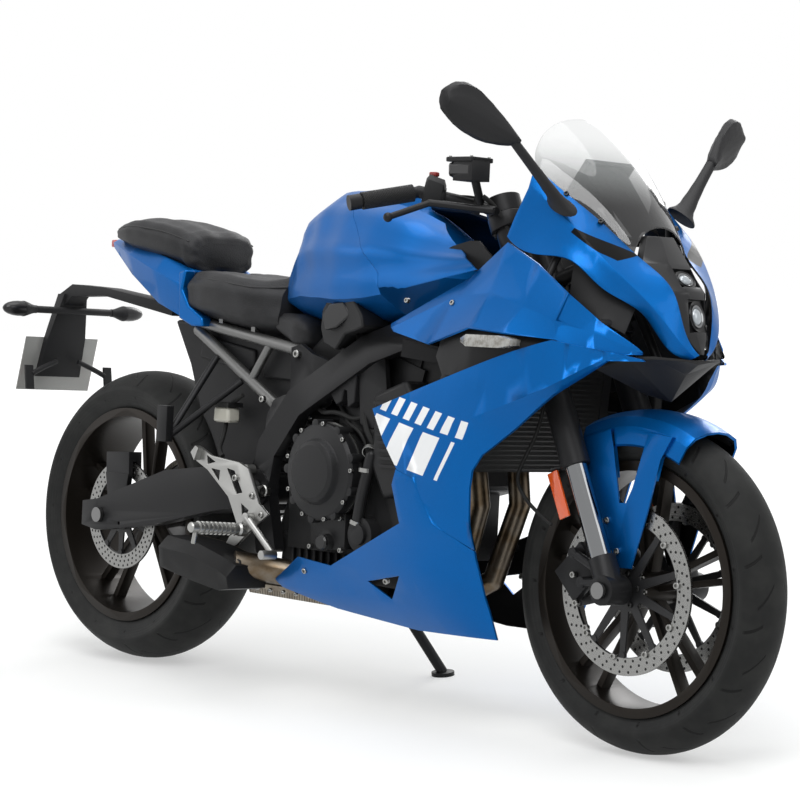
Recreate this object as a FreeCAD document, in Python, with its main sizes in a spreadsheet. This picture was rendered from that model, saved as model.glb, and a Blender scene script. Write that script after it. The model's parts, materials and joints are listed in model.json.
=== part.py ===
import FreeCAD, Part
import math
import os
import re

import Sketcher
from FreeCAD import Placement, Rotation, Vector

# A mid-size sport bike that leans on its side stand.
#
# The bike is modelled upright in its own frame: x runs forward from the rear
# axle, y to the rider's left and z up from the road. At the end every piece is
# leaned over onto the stand, and the origin goes to the middle of the footprint.

# Driving dimensions in millimetres and degrees
SIZES = {
    # Chassis geometry
    "wheelbase": 1465,
    "rake": 25,
    "fork_offset": 30,
    "fork_half_spread": 105,
    "lean": 8,
    # Tyres and rims
    "front_tyre_radius": 300,
    "front_tyre_width": 120,
    "rear_tyre_radius": 315,
    "rear_tyre_width": 180,
    "tread_drop": 40,
    "bead_radius": 218,
    "flange_radius": 232,
    "rim_wall": 4,
    "front_bead_half": 45,
    "rear_bead_half": 70,
    "flange_wall": 6,
    "fit_gap": 0.3,
    "hub_radius": 34,
    "front_hub_half": 62,
    "rear_hub_half": 78,
    "spoke_pairs": 5,
    "spoke_root": 22,
    "spoke_tip": 13,
    "spoke_spread": 12,
    "spoke_depth": 26,
    # Brakes
    "front_disc_radius": 155,
    "front_disc_inner": 122,
    "rear_disc_radius": 118,
    "rear_disc_inner": 86,
    "disc_thick": 5,
    "disc_buttons": 10,
    # Axles and shafts
    "axle_radius": 11,
    "running_gap": 0.05,
    "pivot_radius": 12,
    "stem_radius": 15,
    # Fork
    "outer_tube_radius": 27,
    "inner_tube_radius": 20.5,
    "outer_tube_low": 238,
    "fork_top": 772,
    "lower_clamp_at": 512,
    "upper_clamp_at": 722,
    "clamp_thick": 30,
    # Chain drive
    "chain_pitch": 15.875,
    "rear_teeth": 47,
    "front_teeth": 17,
    "chain_line": 104,
    "sprocket_thick": 7,
    "chain_plate": 2,
    "pin_half": 2.4,
    "caliper_outer": 22,
    "chain_height": 14,
    # Swingarm
    "pivot_ahead": 522,
    "pivot_height": 412,
    "arm_outer_half": 144,
    "right_arm_inner": 104,
    "left_arm_inner": 119,
    "chain_room": 5,
    "spool_thread_radius": 4,
    "spool_thread_depth": 20,
    # Frame
    "head_tube_radius": 31,
    "spar_width": 26,
    "spar_height": 58,
    "subframe_radius": 12,
    "stay_at": 617,
    # Engine
    "case_half": 122,
    # Bars and controls
    "bar_radius": 11,
    "grip_radius": 16.5,
    "grip_length": 100,
    "switch_radius": 24,
    # Shells
    "panel_wall": 4,
    "screen_wall": 3,
    "steering_clearance": 17,
    # Side stand
    "stand_pivot_ahead": 610,
    "stand_pivot_side": 112,
    "stand_pivot_height": 258,
    "stand_foot_ahead": 690,
    "stand_foot_side": 245,
    "stand_leg_radius": 11,
    "stand_eye_half": 14,
    "stand_bolt_radius": 8,
    "stand_foot_radius": 24,
    # Number plate
    "plate_width": 202,
    "plate_height": 125,
}

DOC = FreeCAD.newDocument("sport_bike")
SHEET = DOC.addObject("Spreadsheet::Sheet", "sizes")
for row, (alias, number) in enumerate(SIZES.items(), 1):
    SHEET.set("A%d" % row, alias)
    SHEET.set("B%d" % row, str(number))
    SHEET.setAlias("B%d" % row, alias)
DOC.recompute()


class Sheet:
    """The sheet's values as plain numbers."""

    def __getattr__(self, alias):
        return float(SHEET.get(alias))


S = Sheet()
PIECES = {}


def bound(text):
    """An expression in which each alias names its cell of the sheet."""
    return re.sub(r"[a-z]\w+", lambda m: "sizes." + m.group(0) if m.group(0) in SIZES else m.group(0), str(text))


def value(text):
    return float(SHEET.evalExpression(str(text)))


def piece(name, thing, local=None):
    """Registers a document object, or a bare shape, as the node called name."""
    if isinstance(thing, Part.Shape):
        holder = DOC.addObject("Part::Feature", name)
        holder.Shape = thing
        thing = holder
    thing.Label = name
    PIECES[name] = (thing, local or thing.Placement)
    return thing


# Sketches and features


def body_sketch(body, role, name):
    sketch = body.newObject("Sketcher::SketchObject", name)
    plane = [f for f in body.Origin.OriginFeatures if f.Role == role][0]
    sketch.AttachmentSupport = [(plane, "")]
    sketch.MapMode = "FlatFace"
    return sketch


def outline(sketch, corners):
    """Closed outline whose corners are bound to the sheet.

    A corner is (x, y). With a third value the edge that arrives there is an
    arc of that radius, with its centre to the left of the way travelled.
    """
    first = len(sketch.Geometry)
    points = [Vector(value(c[0]), value(c[1]), 0) for c in corners]
    count = len(corners)
    for i in range(count):
        start, end = points[i], points[(i + 1) % count]
        arriving = corners[(i + 1) % count]
        if len(arriving) > 2:
            radius = value(arriving[2])
            chord = end - start
            side = Vector(-chord.y, chord.x, 0).normalize()
            centre = (start + end) * 0.5 + side * math.sqrt(radius ** 2 - (chord.Length / 2) ** 2)
            angles = [math.atan2(p.y - centre.y, p.x - centre.x) for p in (start, end)]
            circle = Part.Circle(centre, Vector(0, 0, 1), radius)
            sketch.addGeometry(Part.ArcOfCircle(circle, angles[0], angles[1]), False)
            sketch.addConstraint(Sketcher.Constraint("Radius", first + i, radius))
            sketch.setExpression("Constraints[%d]" % (len(sketch.Constraints) - 1), bound(arriving[2]))
        else:
            sketch.addGeometry(Part.LineSegment(start, end), False)
    for i in range(count):
        sketch.addConstraint(Sketcher.Constraint("Coincident", first + i, 2, first + (i + 1) % count, 1))
    for i, corner in enumerate(corners):
        for kind, part in (("DistanceX", corner[0]), ("DistanceY", corner[1])):
            sketch.addConstraint(Sketcher.Constraint(kind, first + i, 1, value(part)))
            if bound(part) != str(part):
                sketch.setExpression("Constraints[%d]" % (len(sketch.Constraints) - 1), bound(part))


def circle(sketch, x, y, radius):
    place = Vector(value(x), value(y), 0)
    geometry = sketch.addGeometry(Part.Circle(place, Vector(0, 0, 1), value(radius)), False)
    for kind, number, part in (("DistanceX", place.x, x), ("DistanceY", place.y, y)):
        sketch.addConstraint(Sketcher.Constraint(kind, geometry, 3, number))
        if bound(part) != str(part):
            sketch.setExpression("Constraints[%d]" % (len(sketch.Constraints) - 1), bound(part))
    sketch.addConstraint(Sketcher.Constraint("Radius", geometry, value(radius)))
    if bound(radius) != str(radius):
        sketch.setExpression("Constraints[%d]" % (len(sketch.Constraints) - 1), bound(radius))


def pad(body, sketch, name, length):
    """Pad of the whole length, half of it on each side of the sketch."""
    feature = body.newObject("PartDesign::Pad", name)
    feature.Profile = sketch
    feature.SideType = "Symmetric"
    feature.setExpression("Length", bound(length))
    return feature


def pocket(body, sketch, name, length=2000):
    feature = body.newObject("PartDesign::Pocket", name)
    feature.Profile = sketch
    feature.SideType = "Symmetric"
    feature.setExpression("Length", bound(length))
    return feature


def revolve(body, sketch, name, axis="H_Axis"):
    feature = body.newObject("PartDesign::Revolution", name)
    feature.Profile = sketch
    feature.ReferenceAxis = (sketch, [axis])
    feature.Angle = 360
    return feature


def polar(body, feature, sketch, name, count):
    pattern = body.newObject("PartDesign::PolarPattern", name)
    pattern.Originals = [feature]
    pattern.Axis = (sketch, ["N_Axis"])
    pattern.Angle = 360
    pattern.setExpression("Occurrences", bound(count))
    body.Tip = pattern
    return pattern


# Plain shapes


def rod(start, end, radius, bore=0):
    """Round bar or tube from start to end."""
    way = end - start
    shape = Part.makeCylinder(radius, way.Length, start, way)
    if bore:
        shape = shape.cut(Part.makeCylinder(bore, way.Length, start, way))
    return shape


def box(x, y, z):
    """Box between the given pairs of limits."""
    corner = Vector(min(x), min(y), min(z))
    return Part.makeBox(abs(x[1] - x[0]), abs(y[1] - y[0]), abs(z[1] - z[0]), corner)


def fused(shapes):
    """One solid out of shapes that overlap."""
    first, rest = shapes[0], list(shapes[1:])
    return first.fuse(rest).removeSplitter() if rest else first


def turned(start, way, profile):
    """Solid of revolution on the line from start along way. The profile's corners are (radius, along)."""
    way = Vector(way).normalize()
    out = Vector(0, 1, 0).cross(way).normalize() if abs(way.y) < 0.9 else Vector(1, 0, 0)
    corners = [(0, profile[0][1])] + list(profile) + [(0, profile[-1][1])]
    wire = Part.makePolygon([start + way * a + out * r for r, a in corners + corners[:1]])
    return Part.Face(wire).revolve(start, way, 360)


def side_plate(points, inner, outer):
    """Flat plate with the given side view, between two values of y."""
    wire = Part.makePolygon([Vector(x, inner, z) for x, z in points + points[:1]])
    return Part.Face(wire).extrude(Vector(0, outer - inner, 0))


def loft(sections, ruled=True):
    """Solid through closed sections of equally many points."""
    wires = [Part.makePolygon(list(s) + [s[0]]) for s in sections]
    return Part.makeLoft(wires, True, ruled)


def beam(path, width, height):
    """Bar of rectangular section whose path's corners are mitred."""
    sections = []
    for i, point in enumerate(path):
        before = path[max(i - 1, 0)]
        after = path[min(i + 1, len(path) - 1)]
        way = Vector(after.x - before.x, 0, after.z - before.z).normalize()
        rise = Vector(-way.z, 0, way.x) * (height / 2)
        side = Vector(0, width / 2, 0)
        sections.append([point + rise + side, point + rise - side, point - rise - side, point - rise + side])
    return loft(sections)


def mirrored(shape):
    """The same shape on the other side of the bike."""
    return shape.mirror(Vector(0, 0, 0), Vector(0, 1, 0))


def both(shape):
    """A shape and its mirror image as two solids of one node."""
    return Part.makeCompound(list(shape.Solids) + list(mirrored(shape).Solids))


def hull(stations):
    """Symmetrical solid. A station is x and its half section, (y, z) from the top to the bottom."""
    sections = []
    for x, half in stations:
        right = [Vector(x, -y, z) for y, z in half]
        left = [Vector(x, y, z) for y, z in reversed(half) if y > 0]
        sections.append(right + left)
    return loft(sections)


def panel(stations, wall):
    """Thin right-hand panel. A station is x and its outer points, (y, z) from the top down."""
    sections = []
    for x, points in stations:
        outer = [Vector(x, -y, z) for y, z in points]
        inner = []
        for i, point in enumerate(outer):
            way = outer[min(i + 1, len(outer) - 1)] - outer[max(i - 1, 0)]
            inner.append(point + Vector(0, -way.z, way.y).normalize() * wall)
        sections.append(outer + inner[::-1])
    return loft(sections)


def skin(rails, wall):
    """Thin right-hand panel, y counted outwards. Each rail is a crease from the rear to the front."""
    outer = [[Vector(x, -y, z) for x, y, z in rail] for rail in rails]
    inner = []
    for i, rail in enumerate(outer):
        line = []
        for j, point in enumerate(rail):
            along = rail[min(j + 1, len(rail) - 1)] - rail[max(j - 1, 0)]
            across = outer[min(i + 1, len(outer) - 1)][j] - outer[max(i - 1, 0)][j]
            side = along.cross(across).normalize()
            # The rails run down the panel, so the wall lies on this side.
            line.append(point - side * wall)
        inner.append(line)

    def curve(points):
        spline = Part.BSplineCurve()
        spline.interpolate(points)
        return spline.toShape()

    first, second = [curve(rail) for rail in outer], [curve(rail) for rail in inner]
    faces = [Part.makeRuledSurface(a, b) for a, b in zip(first, first[1:])]
    faces += [Part.makeRuledSurface(a, b) for a, b in zip(second, second[1:])]
    faces += [Part.makeRuledSurface(first[i], second[i]) for i in (0, -1)]
    for j in (0, -1):
        for i in range(len(outer) - 1):
            near = Part.makeLine(outer[i][j], outer[i + 1][j])
            far = Part.makeLine(inner[i][j], inner[i + 1][j])
            faces.append(Part.makeRuledSurface(near, far))
    shell = Part.makeShell([face for shape in faces for face in shape.Faces])
    shell.sewShape()
    solid = Part.makeSolid(shell)
    if solid.Volume < 0:
        solid.reverse()
    return solid


def blade(top, middle, low, wall):
    """Thin right-hand panel between three lines of points (x, y, z), with y counted outwards."""
    sections = []
    for section in zip(top, middle, low):
        outer = [Vector(x, -y, z) for x, y, z in section]
        normal = (outer[1] - outer[0]).cross(outer[2] - outer[0]).normalize()
        inner = []
        for i, point in enumerate(outer):
            side = (outer[min(i + 1, 2)] - outer[max(i - 1, 0)]).cross(normal).normalize()
            if side.dot(Vector(-0.6, 1, -0.3)) < 0:
                side = -side
            inner.append(point + side * wall)
        sections.append(outer + inner[::-1])
    return loft(sections)


def arch(stations, wall):
    """Thin arched panel. A station is x and its outer points, (y, z) from the middle to the left edge."""
    wires = []
    for x, half in stations:
        outer = [Vector(x, -y, z) for y, z in half[::-1]] + [Vector(x, y, z) for y, z in half[1:]]
        inner = []
        for i, point in enumerate(outer):
            way = outer[min(i + 1, len(outer) - 1)] - outer[max(i - 1, 0)]
            inner.append(point + Vector(0, way.z, -way.y).normalize() * wall)
        over, under = Part.BSplineCurve(), Part.BSplineCurve()
        over.interpolate(outer)
        under.interpolate(inner[::-1])
        wires.append(Part.Wire([over.toShape(), Part.makeLine(outer[-1], inner[-1]), under.toShape(),
                                Part.makeLine(inner[0], outer[0])]))
    return Part.makeLoft(wires, True, False)


def stay(start, end, radius, seat):
    """Rod from start towards end that stops a fitting gap short of the seat."""
    way = (end - start).normalize()
    clear, blocked = 1, (end - start).Length
    while blocked - clear > 0.05:
        middle = (clear + blocked) / 2
        if rod(start, start + way * middle, radius).distToShape(seat)[0] < S.fit_gap:
            blocked = middle
        else:
            clear = middle
    return rod(start, start + way * clear, radius)


def shape_of(name):
    thing, local = PIECES[name]
    shape = thing.Shape.copy()
    shape.Placement = local
    return shape


def cut_to(shape, points, inner=-1, outer=-600):
    """What of a right-hand shape lies inside the given side view."""
    return shape.common(side_plate(points, inner, outer))


# Steering geometry. Places on the fork are given as a distance up from the axle's height.

RAKE = math.radians(S.rake)
UP_FORK = Vector(-math.sin(RAKE), 0, math.cos(RAKE))
AHEAD_FORK = Vector(math.cos(RAKE), 0, math.sin(RAKE))
FRONT_AXLE = Vector(S.wheelbase, 0, S.front_tyre_radius)
REAR_AXLE = Vector(0, 0, S.rear_tyre_radius)
STEER_FOOT = FRONT_AXLE - AHEAD_FORK * S.fork_offset
PIVOT = Vector(S.pivot_ahead, 0, S.pivot_height)
FRONT_SPROCKET = PIVOT + Vector(84, S.chain_line, -18)
FRONT_DISC_SIDE = S.front_hub_half + S.fit_gap + (S.disc_thick - 1) / 2
REAR_DISC_SIDE = S.rear_hub_half + S.fit_gap + (S.disc_thick - 1) / 2

# Leaned cylinders of the engine
CYLINDERS = Placement(Vector(800, 0, 500), Rotation(Vector(0, 1, 0), 16))

# The stand turns from its rest, with the foot ahead of the pivot, back and up along the swingarm.
STAND_PIVOT = Vector(S.stand_pivot_ahead, S.stand_pivot_side, S.stand_pivot_height)
STAND_DOWN = Vector(S.stand_foot_ahead, S.stand_foot_side, 34) - STAND_PIVOT
STAND_AXIS = STAND_DOWN.cross(Vector(-0.97, 0.22, 0.08)).normalize()

# Tail cowl: x, middle of the top, then (y, z) of its upper edge, widest line and lower edge
TAIL_STATIONS = (
    (-128, 918, 30, 916, 44, 908, 40, 896),
    (0, 896, 72, 900, 96, 880, 86, 838),
    (120, 872, 92, 878, 116, 846, 104, 778),
    (208, 846, 78, 850, 118, 820, 112, 752),
)


def on_fork(up, y=0.0, ahead=0.0):
    """Point of the fork's plane: up along the legs, y across and ahead of them."""
    return FRONT_AXLE + UP_FORK * up + AHEAD_FORK * ahead + Vector(0, y, 0)


def on_stem(up):
    return STEER_FOOT + UP_FORK * up


# Wheels


def tyre(name, axle, radius, width, bead_half):
    """Tyre whose round tread runs out into straight side walls."""
    body = DOC.addObject("PartDesign::Body", name)
    sketch = body_sketch(body, "YZ_Plane", name + "_section")
    edge = "%s / 2 - 3" % width
    shoulder = "%s - tread_drop" % radius
    crown = "((%s) ^ 2 + tread_drop ^ 2) / (2 * tread_drop)" % edge
    bead = "%s - fit_gap" % bead_half
    rim = "bead_radius + fit_gap"
    lip = "flange_radius + 2"
    outline(sketch, [
        ("-(%s)" % bead, rim), (bead, rim), (bead, lip),
        (edge, "%s - 6" % shoulder), (edge, shoulder), ("-(%s)" % edge, shoulder, crown),
        ("-(%s)" % edge, "%s - 6" % shoulder), ("-(%s)" % bead, lip),
    ])
    revolve(body, sketch, name + "_ring")
    piece(name, body, Placement(axle, Rotation()))


def rim(name, axle, bead_half, hub_half, bore):
    """Cast wheel: barrel, hub and pairs of slim spokes that spread towards the rim."""
    body = DOC.addObject("PartDesign::Body", name)
    barrel = body_sketch(body, "YZ_Plane", name + "_barrel_section")
    outer = "%s + flange_wall" % bead_half
    inner = "bead_radius - rim_wall"
    outline(barrel, [
        ("-(%s)" % outer, inner), (outer, inner), (outer, "flange_radius"),
        (bead_half, "flange_radius"), (bead_half, "bead_radius"),
        ("-" + bead_half, "bead_radius"), ("-" + bead_half, "flange_radius"), ("-(%s)" % outer, "flange_radius"),
    ])
    revolve(body, barrel, name + "_barrel")
    hub = body_sketch(body, "YZ_Plane", name + "_hub_section")
    outline(hub, [
        ("-" + hub_half, bore), (hub_half, bore), (hub_half, "hub_radius - 6"), ("spoke_depth", "hub_radius"),
        ("-spoke_depth", "hub_radius"), ("-" + hub_half, "hub_radius - 6"),
    ])
    revolve(body, hub, name + "_hub")
    spokes = body_sketch(body, "XZ_Plane", name + "_spokes")
    root = "hub_radius - 4"
    tip = "bead_radius - rim_wall + 1"
    for side in ("", "-"):
        outline(spokes, [
            (side + "1", root), (side + "(1 + spoke_root / 2)", root),
            (side + "(spoke_spread * 2 + spoke_tip)", tip), (side + "(spoke_spread * 2)", tip),
        ])
    pair = pad(body, spokes, name + "_spoke_pair", "spoke_depth")
    polar(body, pair, spokes, name + "_spoke_ring", "spoke_pairs")
    piece(name, body, Placement(axle, Rotation()))


def disc(name, outer, inner, hub):
    """Brake disc: a friction ring on buttons at the ends of its carrier's arms."""
    body = DOC.addObject("PartDesign::Body", name)
    ring = body_sketch(body, "XZ_Plane", name + "_ring_outline")
    circle(ring, 0, 0, outer)
    circle(ring, 0, 0, inner)
    pad(body, ring, name + "_ring", "disc_thick")
    carrier = body_sketch(body, "XZ_Plane", name + "_carrier_outline")
    circle(carrier, 0, 0, "hub_radius + 6")
    circle(carrier, 0, 0, hub)
    pad(body, carrier, name + "_carrier", "disc_thick - 1")
    arm = body_sketch(body, "XZ_Plane", name + "_arm_outline")
    outline(arm, [(-9, "hub_radius"), (9, "hub_radius"), (6, "%s - 4" % inner), (-6, "%s - 4" % inner)])
    arms = pad(body, arm, name + "_arm", "disc_thick - 1")
    polar(body, arms, arm, name + "_arms", "disc_buttons")
    button = body_sketch(body, "XZ_Plane", name + "_button_outline")
    circle(button, 0, "%s - 3" % inner, 7)
    first = pad(body, button, name + "_button", "disc_thick + 2")
    polar(body, first, button, name + "_buttons", "disc_buttons")
    return body


def wheels():
    tyre("front_tyre", FRONT_AXLE, "front_tyre_radius", "front_tyre_width", "front_bead_half")
    tyre("rear_tyre", REAR_AXLE, "rear_tyre_radius", "rear_tyre_width", "rear_bead_half")
    rim("front_rim", FRONT_AXLE, "front_bead_half", "front_hub_half", "axle_radius + running_gap")
    rim("rear_rim", REAR_AXLE, "rear_bead_half", "rear_hub_half", "axle_radius + running_gap")
    # The front discs lie against the hub's ends, the rear disc on the right and the sprocket on the left.
    front = disc("front_disc", "front_disc_radius", "front_disc_inner", "axle_radius + 6")
    DOC.recompute()
    ring = front.Shape.copy()
    ring.translate(FRONT_AXLE + Vector(0, -FRONT_DISC_SIDE, 0))
    piece("front_discs", both(ring))
    front.Label = "front_disc_pattern"
    rear = disc("rear_disc", "rear_disc_radius", "rear_disc_inner", "axle_radius + 6")
    piece("rear_disc", rear, Placement(REAR_AXLE - Vector(0, REAR_DISC_SIDE, 0), Rotation()))


# Chain drive


def pitch_radius(teeth):
    return S.chain_pitch / (2 * math.sin(math.pi / teeth))


def toothed_wheel(centre, teeth, tip, root, thick, bore):
    """Sprocket with round tooth gaps."""
    blank = Part.makeCylinder(tip, thick, centre - Vector(0, thick / 2, 0), Vector(0, 1, 0))
    gap_radius = (tip - root) * 0.62
    gaps = []
    for i in range(teeth):
        turn = 2 * math.pi * i / teeth
        spot = centre + Vector(math.cos(turn), 0, math.sin(turn)) * (tip + gap_radius * 0.35)
        gaps.append(Part.makeCylinder(gap_radius, thick + 2, spot - Vector(0, thick / 2 + 1, 0), Vector(0, 1, 0), 360))
    hole = Part.makeCylinder(bore, thick + 2, centre - Vector(0, thick / 2 + 1, 0), Vector(0, 1, 0))
    return blank.cut(Part.makeCompound(gaps)).cut(hole)


def sprocket_and_chain():
    front_centre = FRONT_SPROCKET
    rear_centre = REAR_AXLE + Vector(0, S.chain_line, 0)
    big, small = pitch_radius(S.rear_teeth), pitch_radius(S.front_teeth)
    # The rim of the sprocket stays below the fixed chain's rollers.
    tip = big - S.pin_half - S.fit_gap
    sprocket = toothed_wheel(rear_centre, int(S.rear_teeth), tip, tip - 8, S.sprocket_thick, 60)
    web = rod(rear_centre - Vector(0, S.sprocket_thick / 2, 0), rear_centre + Vector(0, S.sprocket_thick / 2, 0),
              72, S.axle_radius + 6)
    reach = rear_centre.y - S.sprocket_thick / 2 - (S.rear_hub_half + S.fit_gap)
    boss = rod(rear_centre - Vector(0, S.sprocket_thick / 2 + reach, 0),
               rear_centre - Vector(0, S.sprocket_thick / 2, 0), 52, S.axle_radius + 6)
    piece("rear_sprocket", fused([sprocket, web, boss]))
    # Pitch line of the chain: two tangents and two arcs
    way = front_centre - rear_centre
    tilt = math.atan2(way.z, way.x)
    wrap = math.acos((big - small) / way.Length)

    def at(centre, radius, angle):
        return centre + Vector(math.cos(angle), 0, math.sin(angle)) * radius

    def loop(grow):
        """The chain's outline, grown by the given amount."""
        corners = [
            at(rear_centre, big + grow, tilt + wrap), at(rear_centre, big + grow, tilt + math.pi),
            at(rear_centre, big + grow, tilt - wrap), at(front_centre, small + grow, tilt - wrap),
            at(front_centre, small + grow, tilt), at(front_centre, small + grow, tilt + wrap),
        ]
        edges = [
            Part.Arc(corners[0], corners[1], corners[2]).toShape(),
            Part.LineSegment(corners[2], corners[3]).toShape(),
            Part.Arc(corners[3], corners[4], corners[5]).toShape(),
            Part.LineSegment(corners[5], corners[0]).toShape(),
        ]
        return Part.Wire(edges)

    half = S.chain_height / 2
    sides = []
    for y in (-1, 1):
        ring = Part.Face([loop(half * 0.8), loop(-half * 0.8).reversed()])
        plate = ring.extrude(Vector(0, S.chain_plate * 1.6, 0))
        plate.translate(Vector(0, y * 7 - S.chain_plate * 0.8, 0))
        sides.append(plate)
    pins = Part.Face([loop(S.pin_half), loop(-S.pin_half).reversed()]).extrude(Vector(0, 14, 0))
    pins.translate(Vector(0, -7, 0))
    piece("chain", fused(sides + [pins]))


# Fork and steering


def fork():
    spread = S.fork_half_spread
    tube = rod(on_fork(S.outer_tube_low, -spread), on_fork(S.fork_top, -spread), S.outer_tube_radius)
    # Bracket over the side reflector
    bracket = rod(on_fork(S.outer_tube_low + 8, -spread, -20), on_fork(S.outer_tube_low + 8, -spread - 22, -42), 4)
    piece("fork_outer_tubes", both(fused([tube, bracket])))
    reflector = box((-12, 12), (-3, 3), (-88, 0))
    place = on_fork(S.outer_tube_low + 4 - S.fit_gap, -spread - 19, -42)
    reflector.Placement = Placement(place, Rotation(Vector(0, 1, 0), -S.rake)).multiply(reflector.Placement)
    piece("fork_reflectors", both(reflector))
    inner = rod(on_fork(62, -spread), on_fork(S.outer_tube_low - S.fit_gap, -spread), S.inner_tube_radius)
    piece("fork_inner_tubes", both(inner))
    foot = fork_foot(spread)
    piece("fork_bottoms", both(foot))
    clamps(spread)
    # Axle with its spacers between hub and fork bottoms
    reach = spread + S.outer_tube_radius + 4
    centre = FRONT_AXLE
    shaft = rod(centre - Vector(0, reach, 0), centre + Vector(0, reach, 0), S.axle_radius)
    head = rod(centre - Vector(0, reach + 6, 0), centre - Vector(0, reach, 0), S.axle_radius + 4)
    nut = rod(centre + Vector(0, reach, 0), centre + Vector(0, reach + 6, 0), S.axle_radius + 4)
    piece("front_axle", fused([shaft, head, nut]))


def fork_foot(spread):
    """Cast fork bottom with its axle boss and the two ears of the brake caliper."""
    leg = rod(on_fork(-12, -spread), on_fork(62 - S.fit_gap, -spread), S.inner_tube_radius + 5)
    boss = rod(FRONT_AXLE - Vector(0, spread + S.outer_tube_radius, 0),
               FRONT_AXLE - Vector(0, spread - S.outer_tube_radius, 0), 27)
    ears = []
    seat = FRONT_DISC_SIDE + S.caliper_outer + S.fit_gap
    for root, up in ((20, 36), (38, 92)):
        ears.append(rod(on_fork(up, -seat, -60), on_fork(up, -spread - 7, -60), 10))
        ears.append(rod(on_fork(root, -spread, -12), on_fork(up, -spread, -60), 8))
    hole = rod(FRONT_AXLE - Vector(0, spread + 40, 0), FRONT_AXLE - Vector(0, 60, 0), S.axle_radius + S.running_gap)
    return fused([leg, boss] + ears).cut(hole)


def clamps(spread):
    """Both triple clamps and the stem that joins them."""
    made = []
    for up, reach in ((S.lower_clamp_at, 40), (S.upper_clamp_at, 34)):
        low = up - S.clamp_thick / 2
        centre = on_fork(low)
        shape = [rod(on_fork(low, y), on_fork(low + S.clamp_thick, y), S.outer_tube_radius + 9) for y in (-spread, spread)]
        middle = rod(on_stem(low), on_stem(low + S.clamp_thick), reach)
        bridge = Part.makeBox(S.fork_offset + 30, spread * 2, S.clamp_thick)
        bridge.translate(Vector(-S.fork_offset - 14, -spread, 0))
        bridge.Placement = Placement(centre, Rotation(Vector(0, 1, 0), -S.rake)).multiply(bridge.Placement)
        made += shape + [middle, bridge]
    made.append(rod(on_stem(S.lower_clamp_at), on_stem(S.upper_clamp_at), S.stem_radius))
    tubes = [rod(on_fork(S.outer_tube_low, y), on_fork(S.fork_top + 1, y), S.outer_tube_radius + S.running_gap)
             for y in (-spread, spread)]
    piece("triple_clamps", fused(made).cut(Part.makeCompound(tubes)))


def bars():
    """Clip-on bars: clamp rings round the fork tops, tubes, grips, switches and levers."""
    spread = S.fork_half_spread
    ring_low = S.upper_clamp_at + S.clamp_thick / 2 + S.fit_gap
    ring_top = S.fork_top - 2
    ring = rod(on_fork(ring_low, -spread), on_fork(ring_top, -spread), S.outer_tube_radius + 8)
    inner_end = on_fork((ring_low + ring_top) / 2, -spread - 24, -8)
    grip_inner = Vector(1043, -226, 1004)
    bar_end = Vector(984, -348, 975)
    way = (bar_end - grip_inner).normalize()
    weight_start = bar_end - way * 22
    neck = rod(inner_end, grip_inner, S.bar_radius + 1)
    knee = Part.makeSphere(S.bar_radius + 1, grip_inner)
    tube = rod(grip_inner, weight_start, S.bar_radius)
    bore = rod(on_fork(ring_low - 1, -spread), on_fork(ring_top + 5, -spread), S.outer_tube_radius + S.running_gap)
    weight = rod(weight_start, bar_end, S.grip_radius - 2)
    bar = fused([ring, neck, knee, tube, weight]).cut(bore)
    piece("handlebars", both(bar))
    grip_start = grip_inner + way * 13
    grip = rod(grip_start, grip_start + way * S.grip_length, S.grip_radius, S.bar_radius + S.fit_gap)
    piece("grips", both(grip))
    # Switch box on the neck beside the grip, and the lever's perch nearer to the fork
    neck_way = (grip_inner - inner_end).normalize()
    sideways = neck_way.cross(Vector(0, 0, 1)).normalize()
    rise = sideways.cross(neck_way)
    sections = []
    for at, half, low, high in ((92, 17, 15, 22), (97, 22, 18, 32), (126, 22, 18, 36), (131, 17, 15, 28)):
        middle = inner_end + neck_way * at
        sections.append([middle + sideways * s + rise * r
                         for s, r in ((-half, -low), (half, -low), (half, high - 10), (half - 12, high),
                                      (12 - half, high), (-half, high - 10))])
    bore = rod(inner_end, grip_inner, S.bar_radius + 1 + S.fit_gap)
    housing = loft(sections).cut(bore)
    perch = rod(inner_end + neck_way * 20, inner_end + neck_way * 36, 18, S.bar_radius + 1 + S.fit_gap)
    arm_start = inner_end + neck_way * 28 + Vector(14, 0, -4)
    arm_end = inner_end + neck_way * 28 + Vector(44, -7, -9)
    perch_arm = rod(arm_start, arm_end, 8)
    reservoir = box((1116, 1166), (-212, -166), (1026, 1070))
    post = rod(inner_end + neck_way * 28 + Vector(14, -6, 4), Vector(1144, -190, 1050), 8)
    brake_perch = fused([perch, perch_arm, post, reservoir]).cut(bore)
    clutch_perch = fused([perch, perch_arm]).cut(bore)
    piece("bar_controls", Part.makeCompound([housing, mirrored(housing), brake_perch, mirrored(clutch_perch)]))
    arm_way = (arm_end - arm_start).normalize()
    lever_root = arm_end + arm_way * S.fit_gap
    lever_knee = grip_inner + Vector(50, -20, -22)
    lever_tip = Vector(1060, -318, 951)
    lever = fused([
        rod(lever_root, lever_root + arm_way * 17, 8), rod(lever_root + arm_way * 13, lever_knee, 7),
        Part.makeSphere(7, lever_knee), rod(lever_knee, lever_tip, 6), Part.makeSphere(9, lever_tip),
    ])
    piece("levers", both(lever))


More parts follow.
